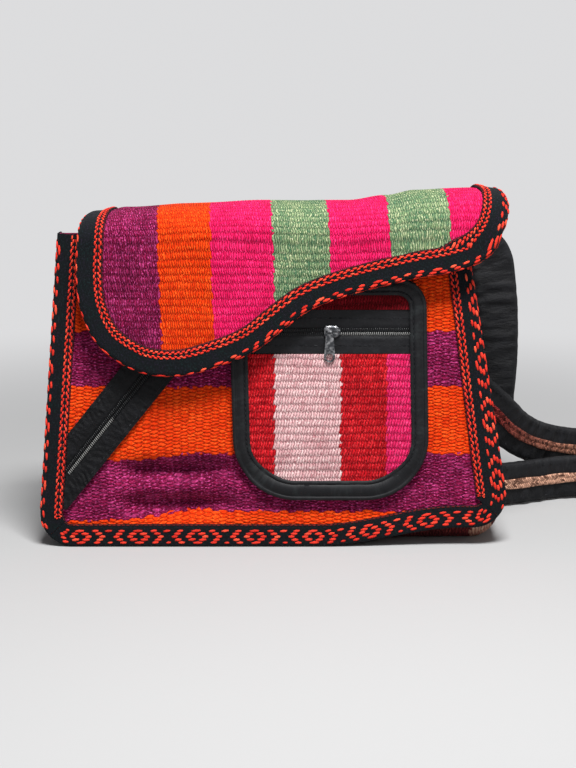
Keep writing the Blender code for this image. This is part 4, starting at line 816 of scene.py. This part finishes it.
def make_gusset(front_edge, back_edge):
    """One long band for both sides and the base; it slackens between the panels and sags to the table."""
    rest = []
    for p in back_edge.points:
        drop = PANEL_FLOOR * smoothstep((CORNER_RADIUS - p.y) / CORNER_RADIUS)
        rest.append(Vector((p.x, p.y - (PANEL_FLOOR if p.y < PANEL_FLOOR + 1e-6 else drop))))
    rest_edge = Edge(rest)
    inset, steps = CLOTH + SEAM_GAP, 28
    rails = [(front_edge, 0.0), (front_edge, 0.05), (rest_edge, 0.24), (rest_edge, 0.70),
             (back_edge, 0.82), (back_edge, 1.0)]
    stretches = list(zip(rails, rails[1:]))

    def on_band(i, share, inner):
        run = front_edge.marks[i]
        (a, low), (b, high) = next(ends for ends in stretches if share <= ends[1][1] + 1e-9)
        blend = smoothstep((share - low) / (high - low))
        p, normal = a.points[i].lerp(b.points[i], blend), a.normals[i].lerp(b.normals[i], blend)
        upright, middle = smoothstep((p.y - 0.030) / 0.040), math.sin(math.pi * share)
        slack = 0.0016 * middle * (ripple(share * 2.2, run * 22, 4.0)
                                   + 0.6 * ripple(share * 5.0, run * 60, 7.0)) * upright
        slack -= 0.0030 * upright * middle ** 2
        p = p + normal * (slack - (GUSSET_CLOTH if inner else 0.0))
        near = place_front(front_edge.points[i].x, p.y, -inset).y
        far = place_back(p.x, p.y, -inset).y
        spot = Vector((p.x, near + (far - near) * share, max(p.y, 0.0019 if inner else 0.0)))
        return spot, (run, share * 0.08)

    shares = [k / steps for k in range(steps + 1)]
    rings = [[on_band(i, share, False) for share in shares]
             + [on_band(i, share, True) for share in reversed(shares)] for i in range(len(front_edge.points))]
    piece = swept("gusset_cloth", "gusset", rings, GUSSET_FINISH)


def make_mouth_hem(edge):
    left = edge.at(0.0).x + RIBBON_FRONT["left"] + 0.002
    right = edge.at(edge.length).x - RIBBON_FRONT["right"] - 0.002
    line = Edge([(right + (left - right) * k / 90, PANEL_HEIGHT) for k in range(91)])
    low, thick, leg, under = PATCH_LOW, HEM_THICK, HEM_LEG, -CLOTH - SEAM_GAP
    face = [(-leg, low + thick), (-leg * 0.5, low + thick + 0.0002), (SEAM_GAP, low + thick)]
    turn = [(SEAM_GAP + thick * 0.8, low + thick * 0.2), (SEAM_GAP + thick, low - 0.001),
            (SEAM_GAP + thick, under), (SEAM_GAP, under - thick), (-leg, under - thick)]
    inside = [(-leg, under), (SEAM_GAP, under), (SEAM_GAP, low), (-leg, low)]
    rings = []
    for run in [line.length * k / 180 for k in range(181)]:
        ring = []
        for out, high in face + turn + inside:
            spot = line.at(run, out)
            gather = 0.0003 * ripple(run * 400, out * 150) if (out, high) in face else 0.0
            ring.append((place_front(spot.x, spot.y, high + gather), (run, out)))
        rings.append(ring)
    piece = swept("mouth_hem_nylon", "mouth_hem", rings, NYLON_TAPE)


# Figured ribbons

class Fold:
    """Section of a ribbon folded over an edge: its face, the rounded fold and the leg behind it."""

    def __init__(self, width, face, leg, radius):
        self.width, self.face, self.radius = width, face, radius
        self.flat = width + RIBBON_OUT - radius
        self.arc = radius * math.pi / 2
        self.total = self.flat + self.arc + face - radius + leg

    def spot(self, across, lift=0.0):
        """(out, high) at a distance across the ribbon from its inner edge."""
        if across <= self.flat:
            return across - self.width, self.face + lift
        if across <= self.flat + self.arc:
            turn, reach = (across - self.flat) / self.radius, self.radius + lift
            return (RIBBON_OUT - self.radius + reach * math.sin(turn),
                    self.face - self.radius + reach * math.cos(turn))
        return RIBBON_OUT + lift, self.face - self.radius - (across - self.flat - self.arc)


class FlapFold(Fold):
    """The flap's ribbon goes round the edge and lies on the lining too."""

    def __init__(self, width, face, under, leg, radius):
        super().__init__(width, face, 0.0, radius)
        self.side = self.flat + self.arc + (face - under - 2 * radius)
        self.under, self.total = under, self.side + self.arc + leg + RIBBON_OUT - radius

    def spot(self, across, lift=0.0):
        if across <= self.side:
            return super().spot(across, lift)
        reach = self.radius + lift
        if across <= self.side + self.arc:
            turn = (across - self.side) / self.radius
            return (RIBBON_OUT - self.radius + reach * math.cos(turn),
                    self.under + self.radius - reach * math.sin(turn))
        return RIBBON_OUT - self.radius - (across - self.side - self.arc), self.under - lift


def chain_spots(start, end, centre):
    """Chain of the ribbon: two wavy rows of strokes that close round a black oval in each link."""
    spots = []
    for k in range(int((end - start) / CHAIN_LINK)):
        run = start + (k + 0.5) * CHAIN_LINK
        for side in (-1, 1):
            wave = chance.uniform(-0.0001, 0.0001)
            spots.append(Stitch(run, centre + side * 0.00190 + wave, 0.0035, 0.00135,
                                side * chance.uniform(0, 8)))
            spots.append(Stitch(run + CHAIN_LINK / 2, centre + side * 0.00095 + wave, 0.0031, 0.00130,
                                side * chance.uniform(4, 14)))
    return spots


def diamond_spots(start, end, centre, phase=0.0):
    """Diamonds of the ribbon, each between a pair of arrow brackets, in five rows of strokes.

    The figure is in millimetres: row, run, length and width. Centre may change along the run.
    """
    figure = [(-3.9, 0.0, 7.4, 1.9), (3.9, 0.0, 7.2, 1.9), (0.0, -5.5, 4.8, 2.2), (0.0, 5.5, 4.8, 2.2)]
    figure += [(row, run, 5.8, 2.05) for row in (-1.95, 1.95) for run in (-3.5, 3.5)]
    figure += [(row, run, 5.0, 1.85) for row in (-3.9, 3.9) for run in (-10.6, 10.6)]
    figure += [(row, run, 5.2, 2.0) for row in (-1.95, 1.95) for run in (-12.6, 12.6)]
    figure += [(0.0, run, 4.8, 2.1) for run in (-14.6, 14.6)]
    figure += [(-3.9, 19.25, 5.6, 1.7), (3.9, 19.25, 3.8, 1.5)]
    spots = []
    for k in range(-1, int((end - start) / DIAMOND_REPEAT) + 2):
        middle = start + phase + (k + 0.5) * DIAMOND_REPEAT
        for row, run, long, wide in figure:
            at = middle + (run + 0.14 * row) * 0.001
            if start + 0.002 < at < end - 0.002:
                across = (centre(at) if callable(centre) else centre) + row * 0.001
                spots.append(Stitch(at, across + chance.uniform(-0.0001, 0.0001), long * 0.001,
                                    wide * 0.001, chance.uniform(-8, 0)))
    return spots


def lay_ribbon(name, edge, start, end, fold, place, spots, dip=0.0006, slip=0.0):
    """A length of ribbon swept along an edge, with its coral threads floated on top and its seam."""
    count = round((end - start) / 0.0016)
    marks = [0.0, 0.0005] + [k * fold.flat / 9 for k in range(1, 10)]
    marks += [fold.flat + fold.arc * k / 4 for k in range(1, 5)]
    marks += [marks[-1] + (fold.total - marks[-1]) * k / 7 for k in range(1, 8)]

    def lay(run, across, high):
        out, level = fold.spot(across + slip * smoothstep((run - start) / (end - start)), high)
        spot = edge.at(run, out)
        uneven = 0.0002 * ripple(run * 90, across * 60, 3.0) - dip * math.exp(-max(across, 0.0) / 0.0012)
        return place(spot.x, spot.y, level + (uneven if across < fold.flat else 0.0))

    rings = []
    for i in range(count + 1):
        run = start + (end - start) * i / count
        selvedge = 0.00025 * math.sin(run * 2 * math.pi / 0.0031)
        ring = [(lay(run, selvedge, -0.0003), (run, 0.0))] + [(lay(run, m, 0.0), (run, m)) for m in marks[1:]]
        rings.append(ring + [(lay(run, m, -RIBBON), (run, m + 0.06)) for m in reversed(marks)])
    tape = swept(name + "_tape", name, rings, RIBBON_FINISH)
    floats = [spot for spot in spots if spot.across + 0.0008 < fold.total
              and start + spot.long / 2 < spot.run < end - spot.long / 2]
    seam = [Stitch(start + (k + 0.5) * RIBBON_STITCH, 0.0004, 0.0029, 0.0006)
            for k in range(int((end - start) / RIBBON_STITCH))]
    extra = [threads(name + "_figure", name, floats, lay, CORAL_THREAD, tall=0.00055),
             threads(name + "_seam", name, seam, lay, RED_THREAD, tall=0.00035)]


def make_body_ribbons(front_edge, back_edge):
    corners = (SIDE_STEPS, SIDE_STEPS + CORNER_STEPS + BASE_STEPS)
    low_left, low_right = ((front_edge.marks[i] + front_edge.marks[i + CORNER_STEPS]) / 2 for i in corners)
    spans = {"left": (0.0, low_left - SEAM_GAP / 2),
             "base": (low_left + SEAM_GAP / 2, low_right - SEAM_GAP / 2),
             "right": (low_right + SEAM_GAP / 2, front_edge.length)}
    for side, (start, end) in spans.items():
        width = RIBBON_FRONT[side]
        fold = Fold(width, RIBBON_FACE, RIBBON_WIDTH - width - RIBBON_OUT, RIBBON_TURN)
        if side == "base":
            spots = diamond_spots(start + 0.001, end - 0.001, 0.0079, phase=0.0008)
        elif side == "left":
            spots = chain_spots(start, end - 0.006, CHAIN_AT)
            spots += diamond_spots(start, end - 0.002, 0.0168, phase=-0.008)
        else:
            spots = chain_spots(start + 0.009, end, CHAIN_AT)
            spots += diamond_spots(start + 0.002, end, 0.0150, phase=0.004)
        lay_ribbon(side + "_ribbon", front_edge, start, end, fold, place_front, spots,
                   slip=RIGHT_SLIP if side == "right" else 0.0)
    fold = Fold(BACK_RIBBON_FRONT, BACK_RIBBON_FACE, RIBBON_WIDTH - BACK_RIBBON_FRONT - RIBBON_OUT,
                RIBBON_TURN)
    lay_ribbon("back_ribbon", back_edge, 0.0, back_edge.length, fold, place_back,
               chain_spots(0.0, back_edge.length, CHAIN_AT))


# Flap

def flap_face(x, run):
    """The flap's puckered face: narrow valleys between rounded rows, deepest under the crest."""
    swell = pucker(weft_place(run, x, 2.0))
    strong = 0.32 + 0.68 * math.exp(-((run - FLAP_SHOULDER) / 0.028) ** 2)
    patchy = max(0.80 + 0.9 * ripple(x * 34, run * 60, 5.0), 0.1)
    return FLAP_CLOTH - 0.0002 + 0.0017 * swell * strong * patchy + 0.0003 * ripple(x * 20, run * 22, 6.0)


def make_flap(edge):
    piece = cut_cloth("flap_cloth", "flap", edge.points, 0.0026, 0.0012, place_flap, lambda x, z: 0.0,
                      flap_face, FLAP_FINISH, lambda x, run: (x, weft_place(run, x, 2.0)))
    fold = FlapFold(FLAP_RIBBON_FRONT, FLAP_CLOTH + 0.0012 + SEAM_GAP + RIBBON, FLAP_RIBBON_UNDER,
                    RIBBON_WIDTH - FLAP_RIBBON_FRONT - RIBBON_OUT, 0.0026)

    def diamond_centre(run):
        return 0.0172 + 0.0036 * (1.0 - smoothstep((run - 0.225) / 0.060))
    spots = chain_spots(0.0, edge.length, 0.0034)
    spots += diamond_spots(0.0, edge.length, diamond_centre, phase=0.006)
    lay_ribbon("flap_ribbon", edge, 0.0, edge.length, fold, place_flap, spots, dip=0.0011)


# Patch pocket

def pocket_face(x, z):
    return PATCH_HIGH - 0.0001 + 0.0004 * pucker(weft_place(z, x, 3.0)) + 0.0003 * ripple(x * 40, z * 40, 8.0)


def pocket_weave(x, z):
    return x, weft_place(z, x, 3.0)


def under_coil(across):
    """1 where the tape dips to pass under the coil, 0 beyond it."""
    return 1.0 - smoothstep((abs(across) - COIL_EDGE - 0.0002) / 0.0007)


def pocket_tape_face(x, z):
    return TAPE_HIGH - 0.0008 * under_coil(z - ZIP_HEIGHT) + 0.00028 * ripple(x * 60, z * 330, 2.0)


def zip_teeth(zip_name, place, start, end, lower_finish, bar):
    """Both coils of a zip: rows of turns, each turn standing across the tape; bar is its length."""
    shape, sides = COIL_TURN
    count = round((end - start) / TOOTH_PITCH)
    wide, tall, middle = COIL_EDGE - 0.0001, COIL_HIGH - COIL_LOW, (COIL_LOW + COIL_HIGH) / 2
    for half, side, finish in (("lower", -1, lower_finish), ("upper", 1, ZIP_COIL)):
        points, faces, uvs = [], [], []
        for k in range(count):
            run = start + (k + 0.5) * (end - start) / count + 0.25 * TOOTH_PITCH * side
            first = len(points)
            for p in shape:
                along = p.y * bar / 0.28 + p.x * 0.0005 * side
                across = side * (COIL_EDGE / 2 + 0.00012 + p.x * wide)
                points.append(place(run + along, across, middle + p.z * tall))
                uvs.append((run + along, across))
            faces += [tuple(first + i for i in ring) for ring in sides]
        node = f"{zip_name}_coil_{half}"
        piece = sewn_piece(f"{zip_name}_{half}_teeth", node, points, faces, finish, uvs, smooth=0)
        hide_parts(node)


def make_patch_pocket():
    edge = pocket_edge()
    cloth = edge.offset(-BINDING_ROLL - SEAM_GAP).points[:-1]
    low_end, high_start = ZIP_HEIGHT - TAPE_REACH, ZIP_HEIGHT + TAPE_REACH
    for name, node, cut, away, finish, flat, area in (
            ("pocket_cloth", "pocket_panel", low_end - SEAM_GAP, 1.0, POCKET_FINISH, (0.126, 0.093), 0.0107),
            ("pocket_top_cloth", "pocket_top_strip", high_start + SEAM_GAP, -1.0, POCKET_TOP_FINISH,
             (0.123, 0.018), 0.0020)):
        piece = cut_cloth(name, node, clip(cloth, (0.0, cut), (0.0, away)), 0.0022, 0.0012, place_front,
                          lambda x, z: PATCH_LOW, pocket_face, finish, pocket_weave)
    for half, side in (("lower", -1), ("upper", 1)):
        near, far = ZIP_HEIGHT + side * TAPE_PARTING, ZIP_HEIGHT + side * TAPE_REACH
        tape = clip(clip(cloth, (0.0, min(near, far)), (0.0, -1.0)), (0.0, max(near, far)), (0.0, 1.0))
        name, node = f"pocket_{half}_tape", f"pocket_tape_{half}"
        piece = cut_cloth(name, node, tape, 0.0020, 0.0008, place_front,
                          lambda x, z: TAPE_LOW - 0.0006 * under_coil(z - ZIP_HEIGHT), pocket_tape_face,
                          NYLON_TAPE)
        seam_height = near + (far - near) * 0.62

        def lay(run, across, high):
            return place_front(run, seam_height + across, TAPE_HIGH + 0.0001 + high)
        line = [Stitch(k * 0.0032 - 0.020, 0.0, 0.0026, 0.0006) for k in range(36)]
        seam = threads(name + "_seam", node, line, lay, BLACK_THREAD, tall=0.00025)
    make_pocket_binding(edge)
    inner = edge.offset(-BINDING_WIDTH).points
    left, right = min(p.x for p in inner) + 0.001, max(p.x for p in inner) - 0.001
    zip_teeth("pocket", lambda run, across, high: place_front(run, ZIP_HEIGHT + across, high), left, right,
              POCKET_COIL, 0.0007)


def make_pocket_binding(edge):
    """Nylon binding with a rolled pipe along each edge and a line of stitching between."""
    over, wide, rim = BINDING_TOP, BINDING_WIDTH, BINDING_OUT
    profile = [(-BINDING_ROLL, PATCH_LOW), (rim - 0.0001, PATCH_LOW), (rim, PATCH_LOW + 0.0012),
               (rim, over - 0.0006)]
    for turn in [math.pi * k / 6 for k in range(7)]:
        profile.append((rim - 0.0015 + 0.0013 * math.cos(turn), over - 0.0002 + 0.0008 * math.sin(turn)))
    profile += [(-0.0034, over + 0.0005), (-0.0048, over + 0.0009), (-0.0062, over + 0.0008)]
    for turn in [math.pi * k / 5 for k in range(6)]:
        profile.append((-wide + 0.0013 + 0.0012 * math.cos(turn), over - 0.0001 + 0.0006 * math.sin(turn)))
    profile += [(-wide, over), (-BINDING_ROLL, over)]
    count = round(edge.length / 0.0016)
    rings = []
    for run in [edge.length * i / count for i in range(count)]:
        grow = 0.0020 * smoothstep((0.062 - edge.at(run).y) / 0.025)
        ring = []
        for out, high in profile:
            if high > over:
                high += 0.00028 * ripple(run * 330, out * 90, 1.0) + 0.0003 * ripple(run * 60, out * 80, 2.0)
            spot = edge.at(run, out - (grow if out < -0.005 else 0.0))
            ring.append((place_front(spot.x, spot.y, high), (run, out)))
        rings.append(ring)
    piece = swept("pocket_binding_nylon", "pocket_binding", rings, NYLON_PIPING, closed=True)

    def lay(run, across, high):
        spot = edge.at(run, across)
        return place_front(spot.x, spot.y, over + 0.0004 + high)
    line = [Stitch(k * edge.length / 150, -0.0074, 0.0026, 0.00055) for k in range(150)]
    seam = threads("pocket_binding_seam", "pocket_binding", line, lay, BLACK_THREAD, tall=0.0003)


# Slanting zip

def slash_axes():
    """The zip's direction up the front, and the direction across it."""
    along = Vector((math.cos(SLASH_ANGLE), math.sin(SLASH_ANGLE)))
    return along, Vector((-along.y, along.x))


def slash_place(run, across, high=0.0):
    along, beside = slash_axes()
    spot = Vector(SLASH_START) + along * run + beside * across
    return place_front(spot.x, spot.y, high)


def slash_coords(x, z):
    step = Vector((x, z)) - Vector(SLASH_START)
    along, beside = slash_axes()
    return step.dot(along), step.dot(beside)


def slash_face(x, z):
    """Gathers that run out from the zip, closer and deeper towards its lower end, and a cross seam."""
    run, across = slash_coords(x, z)
    away = abs(across)
    ramp = smoothstep((away - 0.0040) / 0.003)
    lower = 0.55 + 0.45 * smoothstep((0.030 - run) / 0.030)
    fan = run + 0.55 * away * smoothstep((0.020 - run) / 0.03) - 0.25 * away
    gather = 0.5 + 0.5 * math.cos(2 * math.pi * (fan / 0.0040 + 2.2 * ripple(run * 45, across * 70, 3.0)))
    gather *= 0.55 + 0.9 * abs(ripple(run * 110, across * 90, 9.0))
    seam = math.exp(-((run - SLASH_SEAM - 0.0015 + 0.35 * away) / 0.0009) ** 2)
    return TAPE_HIGH - 0.0008 * under_coil(across) + ramp * (
        0.0006 * seam + 0.0010 * lower * gather + 0.0004 * ripple(x * 190, z * 190))


def slash_lining(x, z):
    _, across = slash_coords(x, z)
    slope = (PATCH_LOW - TAPE_LOW) * max(abs(across) - COIL_EDGE, 0.0) / SLASH_REACH
    return TAPE_LOW + slope - 0.0006 * under_coil(across)


def slash_seam_place(run, across, high):
    spot = slash_place(run, across)
    return spot + Vector((0.0, -slash_face(spot.x, spot.z) - high, 0.0))


def make_slash_pocket(edge):
    inner = edge.offset(-RIBBON_FRONT["left"] - SEAM_GAP)
    upper, lower = inner.at(0.0), inner.at(0.150)
    away = Vector((lower.y - upper.y, upper.x - lower.x)).normalized()
    for half, side in (("lower", -1), ("upper", 1)):
        low, high = sorted((side * TAPE_PARTING, side * SLASH_REACH))
        corners = [slash_place(run, across) for run, across in (
            (SLASH_FOOT, low), (SLASH_LENGTH, low), (SLASH_LENGTH, high), (SLASH_FOOT, high))]
        box = [Vector((spot.x, spot.z)) for spot in corners]
        tape = clip(clip(box, upper, away), (0.0, SLASH_FLOOR), (0.0, -1.0))
        name, node = f"slash_{half}_tape", f"slash_tape_{half}"
        piece = cut_cloth(name, node, tape, 0.0011, 0.0011, place_front, slash_lining, slash_face,
                          GATHERED_NYLON)
        line = [Stitch(0.004 + k * 0.0031, side * 0.0128, 0.0024, 0.0005) for k in range(34)]
        seam = threads(name + "_seam", node, line, slash_seam_place, BLACK_THREAD, tall=0.00025)
    zip_teeth("slash", slash_place, 0.0, SLASH_LENGTH, SLASH_COIL, 0.0006)


def make_pink_stitch():
    """One stray pink stitch beside the left ribbon."""
    def lay(run, across, high):
        return place_front(-0.1285 + run * 0.35, 0.0835 + run + across * 0.3, RIBBON_FACE + 0.0004 + high)
    threads("pink_stitch", "left_ribbon", [Stitch(0.0, 0.0, 0.0045, 0.0014)], lay, PINK_THREAD, tall=0.0006)


# Straps

UP, DOWN = (0.0, 0.0, 1.0), (0.0, 0.0, -1.0)
RIGHT_STRAP = [
    ((0.0300, 0.0343, 0.1700), (0.55, 0.0, 0.84)), ((0.0650, 0.0398, 0.1470), (0.58, 0.0, 0.81)),
    ((0.1000, 0.0442, 0.1200), (0.62, 0.0, 0.78)), ((0.1300, 0.0490, 0.0950), (0.64, 0.0, 0.77)),
    ((0.1580, 0.0560, 0.0700), (0.66, 0.0, 0.75)), ((0.1730, 0.0650, 0.0545), (0.50, 0.0, 0.86)),
    ((0.1920, 0.0800, 0.0420), (0.20, 0.0, 0.98)), ((0.2180, 0.0985, 0.0330), (0.15, 0.0, 1.0)),
    ((0.2500, 0.1160, 0.0280), (0.45, 0.1, 0.85)), ((0.2850, 0.1270, 0.0215), (0.75, 0.15, 0.60)),
    ((0.3170, 0.1200, 0.0140), (0.95, 0.30, 0.25)), ((0.3300, 0.0950, 0.0110), (1.0, 0.0, 0.0)),
    ((0.3160, 0.0720, 0.0135), (0.85, -0.40, -0.30)), ((0.2840, 0.0660, 0.0170), (0.55, -0.5, -0.70)),
    ((0.2500, 0.0740, 0.0172), (0.20, -0.1, -0.95)),
    ((0.2150, 0.0760, 0.0168), DOWN), ((0.1900, 0.0650, 0.0168), DOWN), ((0.1640, 0.0540, 0.0168), DOWN),
    ((0.1400, 0.0510, 0.0168), DOWN), ((0.1180, 0.0508, 0.0168), DOWN),
]
LEFT_STRAP = [
    ((-0.0500, 0.0366, 0.1715), DOWN), ((-0.0100, 0.0400, 0.1730), DOWN),
    ((0.0300, 0.0490, 0.1760), DOWN), ((0.0750, 0.0610, 0.1810), (0.05, 0.0, -1.0)),
    ((0.1200, 0.0720, 0.1890), (-0.10, 0.0, -1.0)), ((0.1512, 0.0770, 0.1830), (-0.70, 0.0, -0.70)),
    ((0.1588, 0.0780, 0.1570), (-1.0, 0.0, -0.10)), ((0.1612, 0.0780, 0.1180), (-1.0, 0.0, 0.0)),
    ((0.1600, 0.0780, 0.0850), (-1.0, 0.0, 0.05)), ((0.1560, 0.0770, 0.0570), (-0.95, 0.0, 0.30)),
    ((0.1380, 0.0750, 0.0310), (-0.60, 0.0, 0.80)), ((0.1080, 0.0700, 0.0195), (-0.12, 0.0, 1.0)),
    ((0.0600, 0.0640, 0.0168), UP), ((0.0100, 0.0600, 0.0168), UP), ((-0.0500, 0.0560, 0.0168), UP),
    ((-0.0950, 0.0510, 0.0168), UP), ((-0.1280, 0.0488, 0.0168), UP),
]


def strap_line(keys, step):
    """Evenly spaced stations (point, width direction, face direction, run) along a strap."""
    line = curve_through([list(point) + list(wide) for point, wide in keys], 24)
    spots, wides = [Vector(v[:3]) for v in line], [Vector(v[3:6]) for v in line]
    marks = [0.0]
    for a, b in zip(spots, spots[1:]):
        marks.append(marks[-1] + (b - a).length)
    count = round(marks[-1] / step)
    even, i = [], 0
    for k in range(count + 1):
        run = marks[-1] * k / count
        while i < len(marks) - 2 and marks[i + 1] < run:
            i += 1
        share = (run - marks[i]) / (marks[i + 1] - marks[i])
        even.append((spots[i].lerp(spots[i + 1], share), wides[i].lerp(wides[i + 1], share), run))
    out = []
    for k, (spot, wide, run) in enumerate(even):
        tangent = (even[min(k + 2, count)][0] - even[max(k - 2, 0)][0]).normalized()
        wide = (wide - tangent * wide.dot(tangent)).normalized()
        out.append((spot, wide, tangent.cross(wide).normalized(), run))
    return out


def strap_section(run, seed):
    """Section of a strap: (across, high) round it, piped and seamed near its edges and rucked."""
    half, pad = STRAP_WIDTH / 2, STRAP_PAD / 2
    gather, crease = ripple(run * 180, 1.0, seed), ripple(run * 120, 3.0, seed)
    section = []
    for facing in (1, -1):
        for k in range(13):
            across = half * (1 - k / 6) * facing
            share = abs(across) / half
            pillow = pad * (0.80 + 0.20 * math.cos(share * math.pi * 0.5))
            pipe = 0.0009 * math.exp(-((share - STRAP_PIPE_AT) / 0.07) ** 2)
            seam = -0.0009 * math.exp(-((share - STRAP_SEAM_AT) / 0.06) ** 2)
            rim = (1.0 - smoothstep((share - 0.90) / 0.10)) * 0.75 + 0.25
            ruck = 0.0015 * ripple(run * 190, across * 60, seed + facing) + 0.0010 * crease * (0.3 + share)
            if abs(across) < BAND_WIDTH / 2 + 0.0012 and facing > 0:
                ruck, pillow = min(ruck * 0.3, 0.0), pad
            edge_ruck = 0.0011 * gather * smoothstep((share - 0.5) / 0.3)
            high = (pillow + seam + pipe + ruck + edge_ruck) * rim
            section.append((across * (1.0 + 0.02 * gather), high * facing))
    return section


def band_section(run, seed):
    """Section of a strap's band: (across, high), with a groove down its middle."""
    low = STRAP_PAD / 2 + BAND_GAP * 0.25
    top = STRAP_PAD / 2 + BAND_GAP + BAND_THICK + 0.0003 * ripple(run * 150, 0.0, seed)
    edge = BAND_WIDTH / 2 + 0.0002 * math.sin(run * 2 * math.pi / 0.0017)
    half = [(1.0, low), (1.0, top - 0.0003), (0.86, top), (0.5, top + 0.00015), (0.1, top - 0.0001)]
    return ([(edge * share, high) for share, high in half] + [(0.0, top - 0.0003)]
            + [(-edge * share, high) for share, high in reversed(half)])


def make_strap(side, keys, seed):
    """Padded nylon strap: bound piped edges, seams that gather it, and a woven band down its middle."""
    stations = strap_line(keys, 0.0018)
    node, last = side + "_strap", len(stations) - 1
    length = stations[-1][3]
    rings = [[(spot + wide * w + face * n, (run, w + (0.05 if n < 0 else 0.0)))
              for w, n in strap_section(run, seed)] for spot, wide, face, run in stations]
    swept(node + "_pad", node, rings, NYLON_STRAP)
    rings = [[(spot + wide * w + face * n, (run, w)) for w, n in band_section(run, seed)]
             for spot, wide, face, run in stations[8:-8]]
    swept(node + "_weave", node + "_band", rings, BAND_FINISH)
    seam_at = STRAP_SEAM_AT * STRAP_WIDTH / 2
    line = [Stitch((k + 1.5) * STRAP_STITCH, across, 0.0025, 0.0005)
            for k in range(int(length / STRAP_STITCH) - 2) for across in (-seam_at, seam_at)]

    def lay(run, across, level):
        spot, wide, face, mark = stations[min(max(round(run / length * last), 0), last)]
        tangent = wide.cross(face)
        return spot + tangent * (run - mark) + wide * across + face * (STRAP_PAD * 0.36 + level)
    threads(node + "_seam", node, line, lay, BLACK_THREAD, tall=0.0004)


# Camera, light and floor

def seen_rays(p):
    """1 for rays that show the backdrop: straight from the camera, mirrored or through glass."""
    path = p.node("ShaderNodeLightPath")
    seen = p.math("MAXIMUM", path.outputs["Is Camera Ray"], path.outputs["Is Glossy Ray"])
    return p.math("MAXIMUM", seen, path.outputs["Is Transmission Ray"])


def make_stage():
    bpy.ops.mesh.primitive_plane_add(size=8.0, location=(0.0, 0.0, 0.0))
    floor = bpy.context.object
    floor.name = "floor"
    p = Finish("pale floor", 0.9, specular=0.1)
    p.feed(p.shader.inputs["Base Color"], FLOOR_GREY)
    spot = p.node("ShaderNodeTexCoord").outputs["Object"]
    far = p.node("ShaderNodeVectorMath", {0: spot}, operation="LENGTH").outputs["Value"]
    fade = p.share(far, 0.22, 0.95, interpolation_type="SMOOTHSTEP")
    glow = p.node("ShaderNodeEmission", {"Color": BACKDROP, "Strength": 1.0})
    blended = p.node("ShaderNodeMixShader", {0: p.times(fade, seen_rays(p)), 1: p.shader.outputs[0],
                                             2: glow.outputs[0]})
    p.feed(p.tree.nodes["Material Output"].inputs["Surface"], blended.outputs[0])
    floor.data.materials.append(p.material)
    world = bpy.data.worlds.new("studio")
    bpy.context.scene.world = world
    world.use_nodes = True
    p = Patch(world.node_tree)
    backdrop = p.tree.nodes["Background"]
    p.feed(backdrop.inputs["Color"], BACKDROP)
    fill = p.node("ShaderNodeBackground", {"Color": (0.95, 0.97, 1.0), "Strength": 0.17})
    both = p.node("ShaderNodeMixShader", {0: seen_rays(p), 1: fill.outputs[0], 2: backdrop.outputs[0]})
    p.feed(p.tree.nodes["World Output"].inputs["Surface"], both.outputs[0])


def softbox(name, spot, target, size, energy):
    light = bpy.data.lights.new(name, "AREA")
    light.shape, light.size, light.size_y, light.energy = "RECTANGLE", size, size * 0.7, energy
    lamp = bpy.data.objects.new(name, light)
    bpy.context.scene.collection.objects.link(lamp)
    lamp.location = spot
    lamp.rotation_euler = (Vector(target) - Vector(spot)).to_track_quat("-Z", "Y").to_euler()


def make_camera():
    camera = bpy.data.cameras.new("camera")
    camera.lens, camera.sensor_width, camera.sensor_fit = LENS, 36.0, "AUTO"
    holder = bpy.data.objects.new("camera", camera)
    holder.location = CAMERA_SPOT
    holder.rotation_euler = (CAMERA_TILT, 0.0, 0.0)
    bpy.context.scene.collection.objects.link(holder)
    bpy.context.scene.camera = holder


make_camera()
make_stage()
softbox("overhead", (0.14, -0.62, 1.28), (0.02, 0.0, 0.08), 0.50, 32.5)
softbox("front", (0.60, -1.2, 0.65), (0.02, 0.0, 0.10), 0.8, 1.5)

front_edge = panel_edge(FRONT_LIFT, PANEL_HEIGHT)
back_edge = panel_edge(0.0, BACK_HEIGHT)
make_gusset(front_edge, back_edge)
make_front(front_edge)
make_back(back_edge)
make_mouth_hem(front_edge)
make_body_ribbons(front_edge, back_edge)
make_flap(flap_edge())
make_patch_pocket()
make_slash_pocket(front_edge)
make_pink_stitch()
make_strap("right", RIGHT_STRAP, 11.0)
make_strap("left", LEFT_STRAP, 31.0)
for part in ("pocket_slider", "pocket_pull", "slash_slider", "slash_pull"):
    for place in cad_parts[part].material_slots:
        place.material = ZINC

bpy.context.scene.view_settings.view_transform = "Standard"
